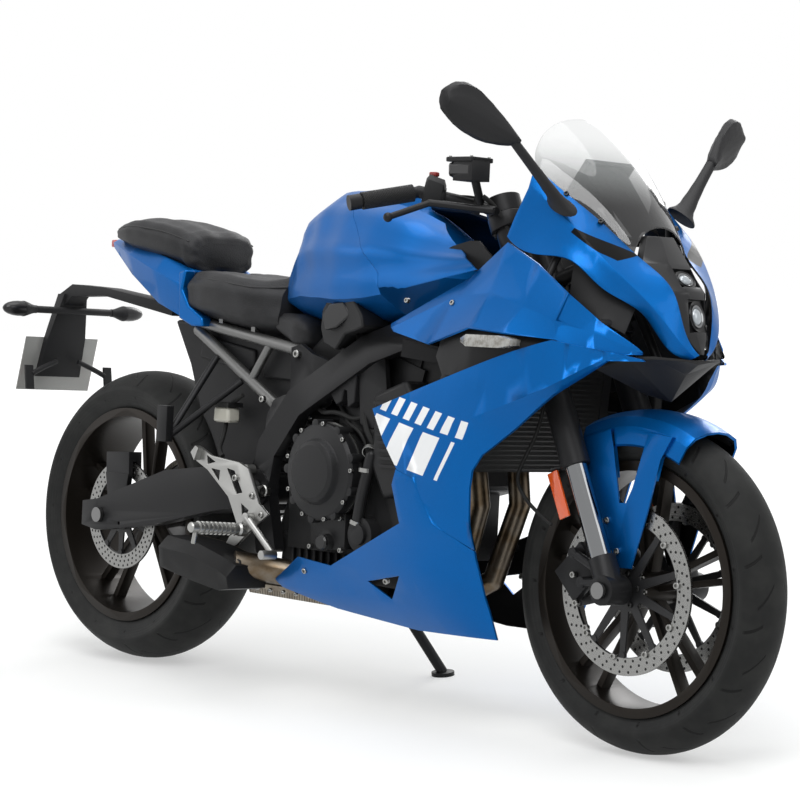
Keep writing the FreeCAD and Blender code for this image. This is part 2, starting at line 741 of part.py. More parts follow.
def front_fender():
    """Arched fender over the tyre with a forked leg down each side to the fork bottoms."""
    axle = FRONT_AXLE
    section_outer = [(0, 326), (30, 323), (56, 312), (69, 294), (72, 262)]
    wall = S.panel_wall
    section_inner = [(y - wall if y else 0, r - wall) for y, r in section_outer]

    def ring(points, start, end, steps=14):
        sections = []
        for i in range(steps + 1):
            turn = math.radians(start + (end - start) * i / steps)
            line = [Vector(axle.x + r * math.sin(turn), y, axle.z + r * math.cos(turn)) for y, r in points]
            sections.append(line)
        return loft(sections)

    full_outer = [(-y, r) for y, r in section_outer[::-1]] + section_outer[1:]
    full_inner = [(-y, r) for y, r in section_inner[::-1]] + section_inner[1:]
    middle = ring(full_outer + full_inner[::-1], -24, 26)
    side = [(-122, 562), (-46, 586), (-36, 551), (-16, 455), (0, 456), (14, 484), (45, 585), (102, 580), (77, 539),
            (53, 445), (20, 340), (-26, 338), (-68, 443)]
    side = [(axle.x + x, z) for x, z in side]
    leg = side_plate(side, -77.5, -74.5)
    # The legs step outwards round the discs below the arch.
    upper_leg = side_plate(side, -77.5, -68).common(box((1200, 1800), (-80, -60), (500, 700)))
    piece("front_fender", fused([middle, leg, mirrored(leg), upper_leg, mirrored(upper_leg)]))


def calipers():
    """Radial calipers behind the fork bottoms, straddling the discs, and the rear caliper on its bracket."""
    side = FRONT_DISC_SIDE
    centre = on_fork(64, 0, -84)
    body = box((-42, 42), (-side - S.caliper_outer, -side + 18), (-36, 36))
    body.Placement = Placement(centre, Rotation(Vector(0, 1, 0), -S.rake - 20)).multiply(body.Placement)
    slot = Part.makeCylinder(S.front_disc_radius + 4, S.disc_thick + 7,
                             FRONT_AXLE - Vector(0, side + (S.disc_thick + 7) / 2, 0), Vector(0, 1, 0))
    piece("front_calipers", both(body.cut(slot)))
    # The bracket turns round the axle between the disc and the arm.
    side = REAR_DISC_SIDE
    centre = REAR_AXLE + Vector(-4, 0, S.rear_disc_radius - 12)
    body = box((-40, 40), (-side - 17, -side + 17), (-24, 30))
    body.Placement = Placement(centre, Rotation(Vector(0, 1, 0), -3)).multiply(body.Placement)
    slot = Part.makeCylinder(S.rear_disc_radius + 4, S.disc_thick + 7,
                             REAR_AXLE - Vector(0, side + (S.disc_thick + 7) / 2, 0), Vector(0, 1, 0))
    inner_y = -(side + (S.disc_thick + 7) / 2)
    ring = rod(Vector(0, -S.right_arm_inner + S.fit_gap, REAR_AXLE.z), Vector(0, inner_y, REAR_AXLE.z), 24)
    strip = side_plate([(-24, REAR_AXLE.z), (24, REAR_AXLE.z), (38, REAR_AXLE.z + 90), (-42, REAR_AXLE.z + 90)],
                       -S.right_arm_inner + 4, inner_y - 1)
    bore = rod(REAR_AXLE - Vector(0, 140, 0), REAR_AXLE, S.axle_radius + S.running_gap)
    piece("rear_caliper", fused([body.cut(slot), ring, strip]).cut(bore))


# Frame and running gear


def main_frame():
    """Head tube, two spars down to the swingarm pivot, pivot plates and the lugs for what the frame carries."""
    head = rod(on_stem(S.lower_clamp_at + S.clamp_thick / 2 + 1), on_stem(S.upper_clamp_at - S.clamp_thick / 2 - 1),
               S.head_tube_radius)
    top = on_stem(S.upper_clamp_at - 90)
    path = [top + Vector(-20, -20, -20), Vector(1010, -112, 768), Vector(830, -134, 704), Vector(630, -138, 590),
            Vector(548, -134, 495), PIVOT + Vector(4, -130, 0), Vector(550, -124, 285)]
    spar = beam(path, S.spar_width, S.spar_height)
    low = on_stem(S.lower_clamp_at + 40)
    brace = beam([low + Vector(-16, -16, 0), Vector(1020, -110, 700), Vector(930, -134, 712)], 20, 34)
    plate = rod(PIVOT - Vector(0, 148, 0), PIVOT - Vector(0, 118, 0), 38)
    subframe_ears = [
        side_plate([(598, 700), (626, 708), (662, 690), (750, 668), (740, 640), (620, 588), (600, 600)], -136, -124.3),
        side_plate([(526, 520), (606, 607), (580, 604), (548, 592), (530, 560)], -134, -120.3),
    ]
    hanger = [side_plate([(868, 716), (796, 690), (810, 560), (838, 550), (866, 560), (882, 620)], -133, -122),
              rod(Vector(838, -124, 575), Vector(838, -112 - S.fit_gap, 575), 12)]
    tank_post = rod(Vector(790, -124, 690), Vector(790, -124, 775.2), 10)
    radiator_post = rod(Vector(1146, -39, 716.2), Vector(1146, -39, 764), 8)
    right = fused([spar, brace, plate, tank_post, radiator_post] + subframe_ears + hanger)
    cross = [rod(Vector(590, -126, 560), Vector(590, 126, 560), 16), rod(Vector(550, -118, 300), Vector(550, 118, 300), 16)]
    shock_ear = side_plate([(588, 578), (604, 552), (516, 574), (486, 590), (484, 606), (496, 616)], -26, -16)
    lug = [rod(STAND_PIVOT - STAND_AXIS * 44, STAND_PIVOT - STAND_AXIS * (S.stand_eye_half + S.fit_gap), 17),
           rod(STAND_PIVOT - STAND_AXIS * 32, Vector(550, 58, 300), 12),
           rod(STAND_PIVOT - STAND_AXIS * 32, STAND_PIVOT + STAND_AXIS * (S.stand_eye_half + S.fit_gap), S.stand_bolt_radius),
           rod(STAND_PIVOT + STAND_AXIS * (S.stand_eye_half + S.fit_gap), STAND_PIVOT + STAND_AXIS * 21, 13)]
    bore = rod(on_stem(S.lower_clamp_at), on_stem(S.upper_clamp_at), S.stem_radius + S.running_gap)
    hole = rod(PIVOT - Vector(0, 200, 0), PIVOT + Vector(0, 200, 0), S.pivot_radius + S.running_gap)
    frame = fused([head, right, mirrored(right), shock_ear, mirrored(shock_ear), fused(lug)] + cross).cut(bore).cut(hole)
    piece("main_frame", frame)


def subframe():
    """Two triangles of tube that carry the seats, with cross tubes, seat rests and the posts of tail and hanger."""
    radius = S.subframe_radius
    upper_front, upper_rear = Vector(615, -112, 692), Vector(250, -92, 742)
    lower_front, lower_rear = Vector(556, -108, 566), Vector(250, -94, 724)
    strut_top, strut_low = Vector(500, -105, 708), Vector(440, -103, 628)
    tail = Vector(60, -66, 800)
    right = [rod(upper_front, upper_rear, radius), rod(lower_front, lower_rear, radius), rod(strut_top, strut_low, radius - 3),
             rod(upper_rear, tail, radius), Part.makeSphere(radius, upper_rear), Part.makeSphere(radius, upper_front),
             Part.makeSphere(radius, lower_front), Part.makeSphere(radius, lower_rear), Part.makeSphere(radius, tail)]
    # Rests under the seat's flat bottom
    right += [box((434, 446), (-106, -92), (712, 737.0)), box((324, 336), (-102, -88), (728, 750.3))]
    right += [rod(Vector(60, -40, 800), Vector(60, -40, 881), 6), rod(Vector(60, -24, 800), Vector(60, -24, 780), 7)]
    across = [rod(Vector(p.x, -p.y, p.z), p, radius - 3) for p in (upper_rear, tail, strut_top)]
    right_side = fused(right)
    piece("subframe", fused([right_side, mirrored(right_side)] + across))


def swingarm():
    """Twin-spar swingarm: side beams outside the tyre, joined by a cross box and the pivot tube."""
    body = DOC.addObject("PartDesign::Body", "swingarm")
    side = body_sketch(body, "XZ_Plane", "swingarm_side")
    outline(side, [
        (-62, "rear_tyre_radius - 26"), (-10, "rear_tyre_radius - 34"), (180, "rear_tyre_radius - 8"),
        (340, "rear_tyre_radius + 30"), ("pivot_ahead", "pivot_height - 30"),
        ("pivot_ahead", "pivot_height + 30", 32), (350, "rear_tyre_radius + 128"),
        (220, "rear_tyre_radius + 112"), (-10, "rear_tyre_radius + 34"), (-62, "rear_tyre_radius + 26"),
    ])
    pad(body, side, "swingarm_block", "arm_outer_half * 2")
    gap = body_sketch(body, "XY_Plane", "tyre_gap")
    outline(gap, [(-100, "-right_arm_inner"), ("rear_tyre_radius + 22", "-right_arm_inner"),
                  ("rear_tyre_radius + 22", "left_arm_inner"), (-100, "left_arm_inner")])
    pocket(body, gap, "tyre_opening")
    well = body_sketch(body, "XY_Plane", "shock_gap")
    outline(well, [("rear_tyre_radius + 70", -60), ("pivot_ahead - 24", -60),
                   ("pivot_ahead - 24", 60), ("rear_tyre_radius + 70", 60)])
    pocket(body, well, "shock_opening")
    run = body_sketch(body, "YZ_Plane", "chain_gap")
    chain_low = "rear_tyre_radius + 119 - chain_height / 2 - chain_room"
    outline(run, [("chain_line - 15", chain_low), ("left_arm_inner", chain_low),
                  ("left_arm_inner", 600), ("chain_line - 15", 600)])
    pocket(body, run, "chain_opening")
    trim = body_sketch(body, "XY_Plane", "pivot_gap")
    outline(trim, [("pivot_ahead - 42", "-arm_outer_half - 10"), ("pivot_ahead + 60", "-arm_outer_half - 10"),
                   ("pivot_ahead + 60", -108), ("pivot_ahead - 42", -108)])
    outline(trim, [("pivot_ahead - 42", 108), ("pivot_ahead + 60", 108),
                   ("pivot_ahead + 60", "arm_outer_half + 10"), ("pivot_ahead - 42", "arm_outer_half + 10")])
    pocket(body, trim, "frame_clearance")
    holes = body_sketch(body, "XZ_Plane", "shaft_holes")
    circle(holes, 0, "rear_tyre_radius", "axle_radius + running_gap")
    circle(holes, "pivot_ahead", "pivot_height", "pivot_radius + running_gap")
    pocket(body, holes, "shaft_bores")
    # Threads for paddock-stand spools, blind from both outer faces
    for mark, side in (("right", -1), ("left", 1)):
        thread = body_sketch(body, "XZ_Plane", "spool_hole_" + mark)
        thread.AttachmentOffset = Placement(Vector(0, 0, -side * S.arm_outer_half), Rotation())
        circle(thread, 70, "rear_tyre_radius - 13", "spool_thread_radius")
        pocket(body, thread, "spool_thread_" + mark, "spool_thread_depth * 2")
    piece("swingarm", body)
    shafts = []
    for centre, radius, reach, head in ((PIVOT, S.pivot_radius, 151, 18),
                                        (REAR_AXLE, S.axle_radius, S.arm_outer_half + 0.5, 16)):
        out = Vector(0, reach, 0)
        shafts.append(fused([rod(centre - out, centre + out, radius)]
                            + [rod(centre + out * side, centre + out * side * 1.06, head) for side in (-1, 1)]))
    piece("rear_axle", Part.makeCompound(shafts))


def rear_shock():
    """Spring and damper between the swingarm's cross box and the frame's cross tube."""
    low, top = Vector(438, 0, 390), Vector(498, 0, 598)
    coils, coil_pitch = 7, 18
    profile = [(15, 0), (15, 26), (33, 28), (33, 38)]
    for i in range(coils):
        foot = 38 + i * coil_pitch
        profile += [(23, foot + 1), (32, foot + coil_pitch * 0.35), (32, foot + coil_pitch * 0.65), (23, foot + coil_pitch - 1)]
    end = 38 + coils * coil_pitch
    profile += [(33, end), (33, end + 12), (15, end + 14), (15, (top - low).Length)]
    lower_eye = rod(low - Vector(0, 60 - S.fit_gap, 0), low + Vector(0, 60 - S.fit_gap, 0), 10)
    upper_eye = rod(top - Vector(0, 16 - S.fit_gap, 0), top + Vector(0, 16 - S.fit_gap, 0), 13)
    piece("rear_shock", fused([turned(low, top - low, profile), lower_eye, upper_eye]))


# Engine and exhaust


def engine():
    """Parallel-twin engine: crankcase, sump, cylinders leaned forward, head, cam cover and the covers at its sides."""
    side = S.case_half + S.fit_gap
    case = box((600, 950), (-S.case_half, S.case_half), (300, 520))
    sump = hull([(650, [(0, 300), (90, 300), (70, 245), (0, 240)]), (900, [(0, 300), (95, 300), (75, 240), (0, 236)])])
    cylinders = box((-88, 88), (-112, 112), (-20, 120))
    head = box((-98, 98), (-100, 100), (120, 205))
    cover = box((-80, 80), (-96, 96), (205, 235))
    upper = fused([cylinders, head, cover])
    upper.Placement = CYLINDERS
    # Recess round the front sprocket, which sits on its own shaft
    recess = rod(FRONT_SPROCKET + Vector(0, -20, 0), FRONT_SPROCKET + Vector(0, 60, 0), pitch_radius(S.front_teeth) + 16)
    tip = pitch_radius(S.front_teeth) - S.pin_half - S.fit_gap
    sprocket = toothed_wheel(FRONT_SPROCKET, int(S.front_teeth), tip, tip - 7, S.sprocket_thick, 10)
    shaft = rod(FRONT_SPROCKET + Vector(0, -24, 0), FRONT_SPROCKET + Vector(0, 10, 0), 16)
    belly = shape_of("belly_fairing")
    stays = [stay(Vector(930, y, 322), Vector(930, y * 3, 322), 8, belly) for y in (-118, 118)]
    # Water hose down the right side, and the pump it ends in
    route = [Vector(838, -108, 524), Vector(862, -146, 500), Vector(846, -152, 420), Vector(828, -146, 352)]
    hose = [rod(a, b, 12) for a, b in zip(route, route[1:])] + [Part.makeSphere(12, p) for p in route[1:]]
    pump = [rod(Vector(842, -118, 345), Vector(842, -150, 345), 34), rod(Vector(842, -148, 345), Vector(842, -158, 345), 20)]
    piece("engine_block", fused([fused([case, sump, upper]).cut(recess), sprocket, shaft] + hose + pump + stays))
    centre = Vector(732, -side, 460)
    out = Vector(0, -1, 0)
    clutch = turned(centre, out, [(96, 0), (96, 40), (90, 46), (66, 49), (60, 62), (52, 67)])
    bosses = []
    for i in range(9):
        turn = 2 * math.pi * (i + 0.5) / 9
        spot = centre + Vector(math.cos(turn), 0, math.sin(turn)) * 95
        bosses.append(rod(spot, spot + out * 44, 9))
    lower = side_plate([(690, 380), (796, 380), (796, 312), (700, 302)], -side, -side - 24)
    filler = rod(Vector(748, -side - 20, 322), Vector(748, -side - 38, 322), 17)
    piece("clutch_cover", fused([clutch, lower, filler] + bosses))
    generator = rod(Vector(800, side, 420), Vector(800, side + 52, 420), 78)
    sprocket_case = rod(Vector(650, side, 400), Vector(650, side + 24, 400), 48)
    piece("left_engine_covers", Part.makeCompound([generator, sprocket_case]))


def exhaust():
    """Two header pipes, the collector box under the engine and the short silencer."""
    pipes = []
    for y in (-58, 58):
        port = CYLINDERS.multVec(Vector(98 + S.fit_gap, y, 160))
        out = CYLINDERS.Rotation.multVec(Vector(1, 0, 0))
        pipes.append(rod(port, port + out * 8, 32))
        route = [port, port + out * 62, Vector(1052, y, 545), Vector(1072, y * 0.95, 420), Vector(1020, y * 0.8, 270),
                 Vector(900, y * 0.6, 208)]
        pipes += [rod(a, b, 21) for a, b in zip(route, route[1:])] + [Part.makeSphere(21, p) for p in route[1:-1]]
    joint = rod(Vector(905, 0, 208), Vector(765, 0, 208), 24)
    yoke = [rod(Vector(900, y, 208), Vector(830, 0, 208), 21) for y in (-35, 35)]
    piece("exhaust_header", fused(pipes + yoke + [joint]))
    chamber = hull([(440, [(0, 226), (70, 226), (92, 212), (80, 190), (0, 186)]),
                    (764.7, [(0, 230), (70, 230), (90, 214), (80, 188), (0, 184)])])
    silencer = loft([
        [Vector(x, -y, z) for y, z in ((130, zt), (215, zt), (238, zt - 22), (232, zb), (135, zb))]
        for x, zt, zb in ((330, 300, 236), (430, 292, 218), (520, 270, 206), (552, 258, 212))
    ])
    link = rod(Vector(460, -60, 208), Vector(500, -160, 236), 20)
    piece("exhaust_chamber", fused([silencer, link, chamber]))


def fairing_stay():
    """Steel stay ahead of the head tube that carries dash, lamps, mirrors and cowls."""
    root = on_stem(S.stay_at)
    hub = Vector(1336, 0, 905)
    head = rod(on_stem(S.lower_clamp_at), on_stem(S.upper_clamp_at), S.head_tube_radius + S.fit_gap)
    main = rod(root, hub, 15).cut(head)
    main = max(main.Solids, key=lambda solid: solid.CenterOfMass.x)
    right_end = Vector(1345, -138, 930)
    cross = rod(right_end, Vector(right_end.x, 138, right_end.z), 9)
    riser = rod(hub, Vector(1345, 0, 932), 12)
    cowl, fairing = shape_of("nose_cowl"), shape_of("side_fairings")
    arms = []
    for place in (Vector(1351, -176, 990), Vector(1330, -150, 1030)):
        arm = stay(right_end, place, 7, cowl)
        arms += [arm, mirrored(arm)]
    wing_arm = stay(right_end, Vector(1325, -230, 740), 7, fairing)
    arms += [wing_arm, mirrored(wing_arm)]
    arms.append(stay(hub, Vector(1560, 0, 820), 9, shape_of("nose_mask")))
    arms.append(stay(hub, Vector(1500, 0, 640), 9, shape_of("chin_panel")))
    arms.append(stay(Vector(1345, 0, 932), Vector(1284, 0, 1034), 8, shape_of("instrument_panel")))
    piece("fairing_stay", fused([main, riser, cross, Part.makeSphere(9, right_end),
                                 Part.makeSphere(9, Vector(right_end.x, 138, right_end.z))] + arms))


def radiator():
    """Radiator core between its side tanks, with the arms that hold the side fairings."""
    core = box((-16, 16), (-176, 176), (0, 226))
    tanks = [box((-19, 19), (y, y + 22), (-6, 232)) for y in (-198, 176)]
    shape = fused([core] + tanks)
    shape.Placement = Placement(Vector(1128, 0, 490), Rotation(Vector(0, 1, 0), 5))
    arm = stay(Vector(1136, -190, 600), Vector(1136, -300, 600), 7, shape_of("side_fairings"))
    piece("radiator", fused([shape, arm, mirrored(arm)]))


# Bodywork


def steering_room():
    """Space that the fork tubes and clamps sweep as they steer."""
    reach = math.hypot(S.fork_half_spread, S.fork_offset) + S.outer_tube_radius + S.steering_clearance
    return rod(on_stem(150), on_stem(900), reach)


def tank_hull(shrink):
    """Outer form of the tank and its side covers, made smaller by the given amount."""
    stations = [
        (520, 870, 40, 70, 84, 60, 782),
        (560, 955, 62, 96, 104, 84, 778),
        (620, 1004, 78, 118, 126, 104, 776),
        (700, 1018, 88, 142, 154, 120, 774),
        (800, 1012, 96, 166, 178, 136, 776),
        (900, 992, 100, 172, 184, 150, 790),
        (1000, 966, 104, 168, 184, 172, 812),
        (1100, 940, 118, 166, 184, 182, 838),
        (1180, 920, 132, 162, 178, 180, 862),
    ]
    made = []
    for x, top, ridge, shoulder, belly, low, bottom in stations:
        span = top - bottom
        half = [(0, top - shrink), (max(ridge - shrink, 10), top - 0.08 * span - shrink),
                (shoulder - shrink, top - 0.38 * span), (belly - shrink, top - 0.62 * span),
                (low - shrink, bottom - shrink * 3), (0, bottom - shrink * 3)]
        made.append((x, half))
    return hull(made)


def tank():
    """Fuel tank behind the seam and the hollow side covers ahead of it."""
    full = tank_hull(0)
    seam = [(700, 1100), (742, 990), (896, 852), (930, 700)]
    behind = side_plate([(300, 1100)] + seam + [(300, 700)], -400, 400)
    ahead = [(x + S.fit_gap * 1.5, z) for x, z in seam]
    # The front edge has a pointed notch beside the fork.
    ahead += [(1100, 700), (1178, 858), (1152, 870), (1052, 919), (1122, 950), (1080, 1100)]
    piece("fuel_tank", full.common(behind))
    shell = full.cut(tank_hull(S.panel_wall)).common(side_plate(ahead, -400, 400))
    trough = box((600, 1300), (-92, 92), (600, 1200))
    # Room that the bars sweep at full lock
    sweep = Part.makeTorus(169, S.switch_radius + S.steering_clearance, on_stem(779), UP_FORK)
    covers = shell.cut(trough).cut(steering_room()).cut(sweep)
    fairing = shape_of("side_fairings")
    for shift in (-S.fit_gap, 0, S.fit_gap):
        covers = covers.cut(Part.makeCompound([s.translated(Vector(0, shift, 0)) for s in fairing.Solids]))
    piece("tank_covers", Part.makeCompound(sorted(covers.Solids, key=lambda solid: -solid.Volume)[:2]))


def tail_top(x):
    """Height of the tail cowl in the middle, and the place (y, z) of its upper edge."""
    for near, far in zip(TAIL_STATIONS, TAIL_STATIONS[1:]):
        if near[0] <= x <= far[0]:
            share = (x - near[0]) / (far[0] - near[0])
            return [near[i] + (far[i] - near[i]) * share for i in (1, 2, 3)]


def seats():
    rider = hull([
        (222, [(0, 838), (70, 846), (108, 828), (112, 800), (96, 771), (0, 767)]),
        (330, [(0, 846), (90, 850), (134, 832), (138, 800), (108, 752), (0, 748)]),
        (440, [(0, 838), (80, 838), (124, 818), (128, 790), (108, 738), (0, 736)]),
        (520 - S.fit_gap, [(0, 852), (50, 850), (84, 820), (100, 780), (92, 732), (0, 730)]),
    ])
    piece("rider_seat", rider)
    stations = []
    for x, top in ((-92, [(0, 950), (40, 948), (60, 938), (62, 924)]), (0, [(0, 966), (60, 962), (92, 944), (92, 924)]),
                   (120, [(0, 955), (66, 951), (98, 932), (100, 908)]), (204, [(0, 926), (62, 924), (88, 908), (86, 880)])):
        middle, edge, height = tail_top(x)
        # The flat bottom follows the cowl.
        stations.append((x, top + [(edge * 0.9, middle + (height - middle) * 0.9 + S.fit_gap + 0.1),
                                   (0, middle + S.fit_gap + 0.1)]))
    piece("pillion_seat", hull(stations))


def tail():
    def tail_hull(shrink):
        return hull([(x, [(0, top - shrink), (a - shrink, b - shrink), (c - shrink, d), (e - shrink, f - shrink * 3),
                          (0, f - shrink * 3)]) for x, top, a, b, c, d, e, f in TAIL_STATIONS])

    piece("tail_cowl", tail_hull(0).cut(tail_hull(S.panel_wall)))
    rear = TAIL_STATIONS[0][0] - S.fit_gap
    piece("tail_lamp", box((rear - 21, rear), (-34, 34), (898, 915)))


def plate_hanger():
    """Arm under the tail that carries the number plate and the rear indicators."""
    arm = loft([
        [Vector(x, y, z) for y, z in ((-w, top), (w, top), (w, low), (-w, low))]
        for x, w, top, low in ((80, 34, 776, 752), (-180, 24, 808, 790), (-300, 24, 813, 786), (-340, 28, 790, 752))
    ])
    drop = loft([
        [Vector(x, y, z) for x, y in ((front, -w), (front, w), (rear, w), (rear, -w))]
        for z, front, rear, w in ((790, -318, -342, 32), (690, -344, -360.6, 52), (600, -368, -383.1, 58))
    ])
    bar = rod(Vector(-322, -104, 752), Vector(-322, 104, 752), 8)
    piece("plate_hanger", fused([arm, drop, bar]))
    body = DOC.addObject("PartDesign::Body", "licence_plate")
    sketch = body_sketch(body, "YZ_Plane", "licence_plate_outline")
    outline(sketch, [("-plate_width / 2", "-plate_height"), ("plate_width / 2", "-plate_height"),
                     ("plate_width / 2", 0), ("-plate_width / 2", 0)])
    pad(body, sketch, "licence_plate_blank", 2)
    piece("licence_plate", body, Placement(Vector(-362, 0, 690), Rotation(Vector(0, 1, 0), 14)))


# Side panels. Rails run from the rear to the front; y is counted outwards.
WING_TOP = [(955, 199, 757), (1141, 176, 850), (1238, 182, 915), (1317, 184, 878), (1404, 190, 826), (1451, 157, 779),
            (1505, 121, 739), (1517, 112, 728)]
WING_CREASE = [(962, 206, 750), (1120, 196, 812), (1225, 206, 822), (1310, 208, 800), (1386, 200, 776),
               (1446, 165, 758), (1502, 124, 731), (1518, 111, 725)]
WING_LOW = [(975, 211, 742), (1081, 222, 722), (1200, 238, 756), (1290, 240, 750), (1391, 205, 742), (1448, 170, 713),
            (1500, 124, 722), (1516, 110, 722)]
SIDE_RAILS = [
    [(556, 176, 640), (700, 202, 640), (860, 224, 650), (1000, 236, 665), (1100, 240, 690), (1180, 240, 720),
     (1262, 238, 745), (1328, 230, 765), (1408, 202, 785), (1469, 160, 790), (1530, 104, 790)],
    [(556, 172, 500), (700, 204, 510), (860, 230, 520), (1000, 245, 535), (1100, 248, 550), (1180, 247, 578),
     (1262, 243, 604), (1328, 233, 630), (1408, 209, 668), (1469, 153, 713), (1530, 107, 724)],
    [(556, 166, 420), (700, 196, 440), (860, 222, 455), (1000, 238, 465), (1100, 240, 478), (1180, 232, 488),
     (1262, 203, 548), (1328, 193, 595), (1408, 180, 654), (1469, 149, 708), (1530, 105, 719)],
    [(556, 150, 350), (700, 180, 365), (860, 206, 380), (1000, 225, 390), (1100, 227, 388), (1180, 206, 385),
     (1262, 176, 450), (1328, 160, 520), (1408, 150, 600), (1469, 130, 660), (1530, 90, 690)],
    [(556, 142, 286), (700, 166, 288), (860, 184, 288), (1000, 197, 288), (1100, 190, 288), (1180, 158, 290),
     (1262, 140, 360), (1328, 130, 440), (1408, 120, 540), (1469, 110, 610), (1530, 80, 660)],
    [(556, 128, 232), (700, 145, 226), (860, 154, 224), (1000, 158, 224), (1100, 152, 226), (1180, 128, 230),
     (1262, 116, 290), (1328, 108, 380), (1408, 100, 480), (1469, 94, 560), (1530, 70, 620)],
    [(556, 112, 198), (700, 116, 184), (860, 116, 176), (1000, 114, 170), (1100, 111, 170), (1180, 104, 174),
     (1262, 96, 230), (1328, 90, 320), (1408, 84, 420), (1469, 78, 500), (1530, 60, 570)],
]
SIDE_SEAM = [(1040, 485), (1082, 473), (1124, 391), (1164, 368), (1240, 320)]


def side_sheet():
    return skin(SIDE_RAILS, S.panel_wall)


def side_fairing():
    """Right side panels: the upper wing and, below its notch, the arm that runs down to the belly."""
    wing = blade(WING_TOP, WING_CREASE, WING_LOW, S.panel_wall)
    arm = [(961, 595), (1138, 656), (1313, 716), (1392, 741), (1456, 729), (1519, 715), (1522, 711), (1471, 709), (1408, 657),
           (1328, 598), (1270, 555), (1234, 525), (1215, 496), (1207, 464), (1202, 432), (1198, 404), (1194, 348)]
    arm += [(x, z + S.fit_gap) for x, z in SIDE_SEAM[::-1][1:]] + [(988, 557)]
    lower = cut_to(side_sheet(), arm)
    for shift in (-S.fit_gap, 0, S.fit_gap):
        lower = lower.cut(wing.translated(Vector(0, shift, 0))).cut(wing.translated(Vector(0, 0, -2 * abs(shift))))
    lower = max(lower.Solids, key=lambda solid: solid.Volume)
    piece("side_fairings", both(Part.makeCompound([wing, lower])))


def belly_fairing():
    side = [(x, z - S.fit_gap) for x, z in SIDE_SEAM]
    side = [(1037, 486), (1024, 456), (1039, 385), (795, 281), (685, 288), (584, 233), (604, 219), (768, 193), (992, 175),
            (1189, 178), (1187, 257), (1191, 332), (1193, 346)] + side[::-1][1:]
    right = cut_to(side_sheet(), side)
    vent = cut_to(side_sheet(), [(905, 262), (1012, 283), (962, 232)])
    right = max(right.cut(vent).Solids, key=lambda solid: solid.Volume)
    # The left half stops ahead of the side stand.
    left = mirrored(right).cut(box((500, S.stand_foot_ahead + 20), (0, 300), (100, 500)))
    piece("belly_fairing", Part.makeCompound([right, left]))


def nose():
    """Nose cowl in two halves, the dark mask between them, its two lamps and the chin below."""
    seam = [(1266, 150, 1056), (1330, 128, 1003), (1385, 100, 958), (1462, 65, 890), (1523, 48, 838), (1546, 31, 757),
            (1560, 9, 727)]
    ridge = [(1270, 166, 1014), (1345, 158, 968), (1402, 149, 920), (1455, 127, 868), (1510, 89, 810), (1545, 49, 750),
             (1555, 15, 724)]
    waist = [(1250, 176, 962), (1330, 168, 926), (1395, 158, 898), (1446, 132, 852), (1498, 87, 803), (1536, 50, 742),
             (1550, 16, 722)]
    foot = [(1238, 182, 925), (1315, 179, 893), (1389, 171, 883), (1440, 139, 836), (1490, 85, 797), (1528, 51, 733),
            (1546, 18, 720)]
    cowl = both(skin([seam, ridge, waist, foot], S.panel_wall))
    piece("nose_cowl", cowl)
    mask = loft([
        [Vector(front, -w * 0.45, z), Vector(front, w * 0.45, z), Vector(x, w, z), Vector(x - 18, w - 3, z),
         Vector(x - 18, 3 - w, z), Vector(x, -w, z)]
        for x, front, w, z in ((1446, 1462, 36, 937), (1460, 1492, 61, 890), (1521, 1537, 44, 838), (1543, 1557, 26, 757),
                               (1556, 1561, 6, 728))
    ]).cut(cowl)
    # Lamps sunk into the mask's sloping front: place of the face, its slope, half width, half height
    lenses = []
    for x, z, slope, half_wide, half_high in ((1514, 864, 40, 26, 21), (1547, 797, 14, 22, 30)):
        face = Placement(Vector(x, 0, z), Rotation(Vector(0, 1, 0), -slope))
        recess = box((-9, 40), (-half_wide, half_wide), (-half_high, half_high))
        recess.Placement = face.multiply(recess.Placement)
        lens = box((-9 + S.fit_gap, -3), (-half_wide + S.fit_gap, half_wide - S.fit_gap),
                   (-half_high + S.fit_gap, half_high - S.fit_gap))
        lens.Placement = face.multiply(lens.Placement)
        mask = mask.cut(recess)
        lenses.append(lens)
    piece("nose_mask", max(mask.Solids, key=lambda solid: solid.Volume))
    piece("headlamps", Part.makeCompound(lenses))
    chin = hull([
        (1430, [(0, 704), (140, 700), (140, 694), (0, 650)]),
        (1492, [(0, 712), (118, 718), (118, 712), (0, 640)]),
        (1524, [(0, 716), (92, 721), (92, 716), (0, 690)]),
        (1552, [(0, 717), (30, 718), (30, 714), (0, 710)]),
    ]).cut(shape_of("side_fairings"))
    piece("chin_panel", max(chin.Solids, key=lambda solid: solid.Volume))


def windscreen():
    screen = arch((
        (1246, [(0, 1154), (60, 1147), (104, 1126), (125, 1100)]),
        (1273, [(0, 1134), (70, 1122), (120, 1092), (149, 1051)]),
        (1330, [(0, 1085), (66, 1070), (108, 1040), (127, 1004)]),
        (1385, [(0, 1030), (55, 1014), (86, 990), (99, 959)]),
        (1446, [(0, 956), (36, 948), (60, 928), (71, 905)]),
    ), S.screen_wall).cut(shape_of("nose_cowl")).cut(shape_of("nose_mask"))
    piece("windscreen", max(screen.Solids, key=lambda solid: solid.Volume))


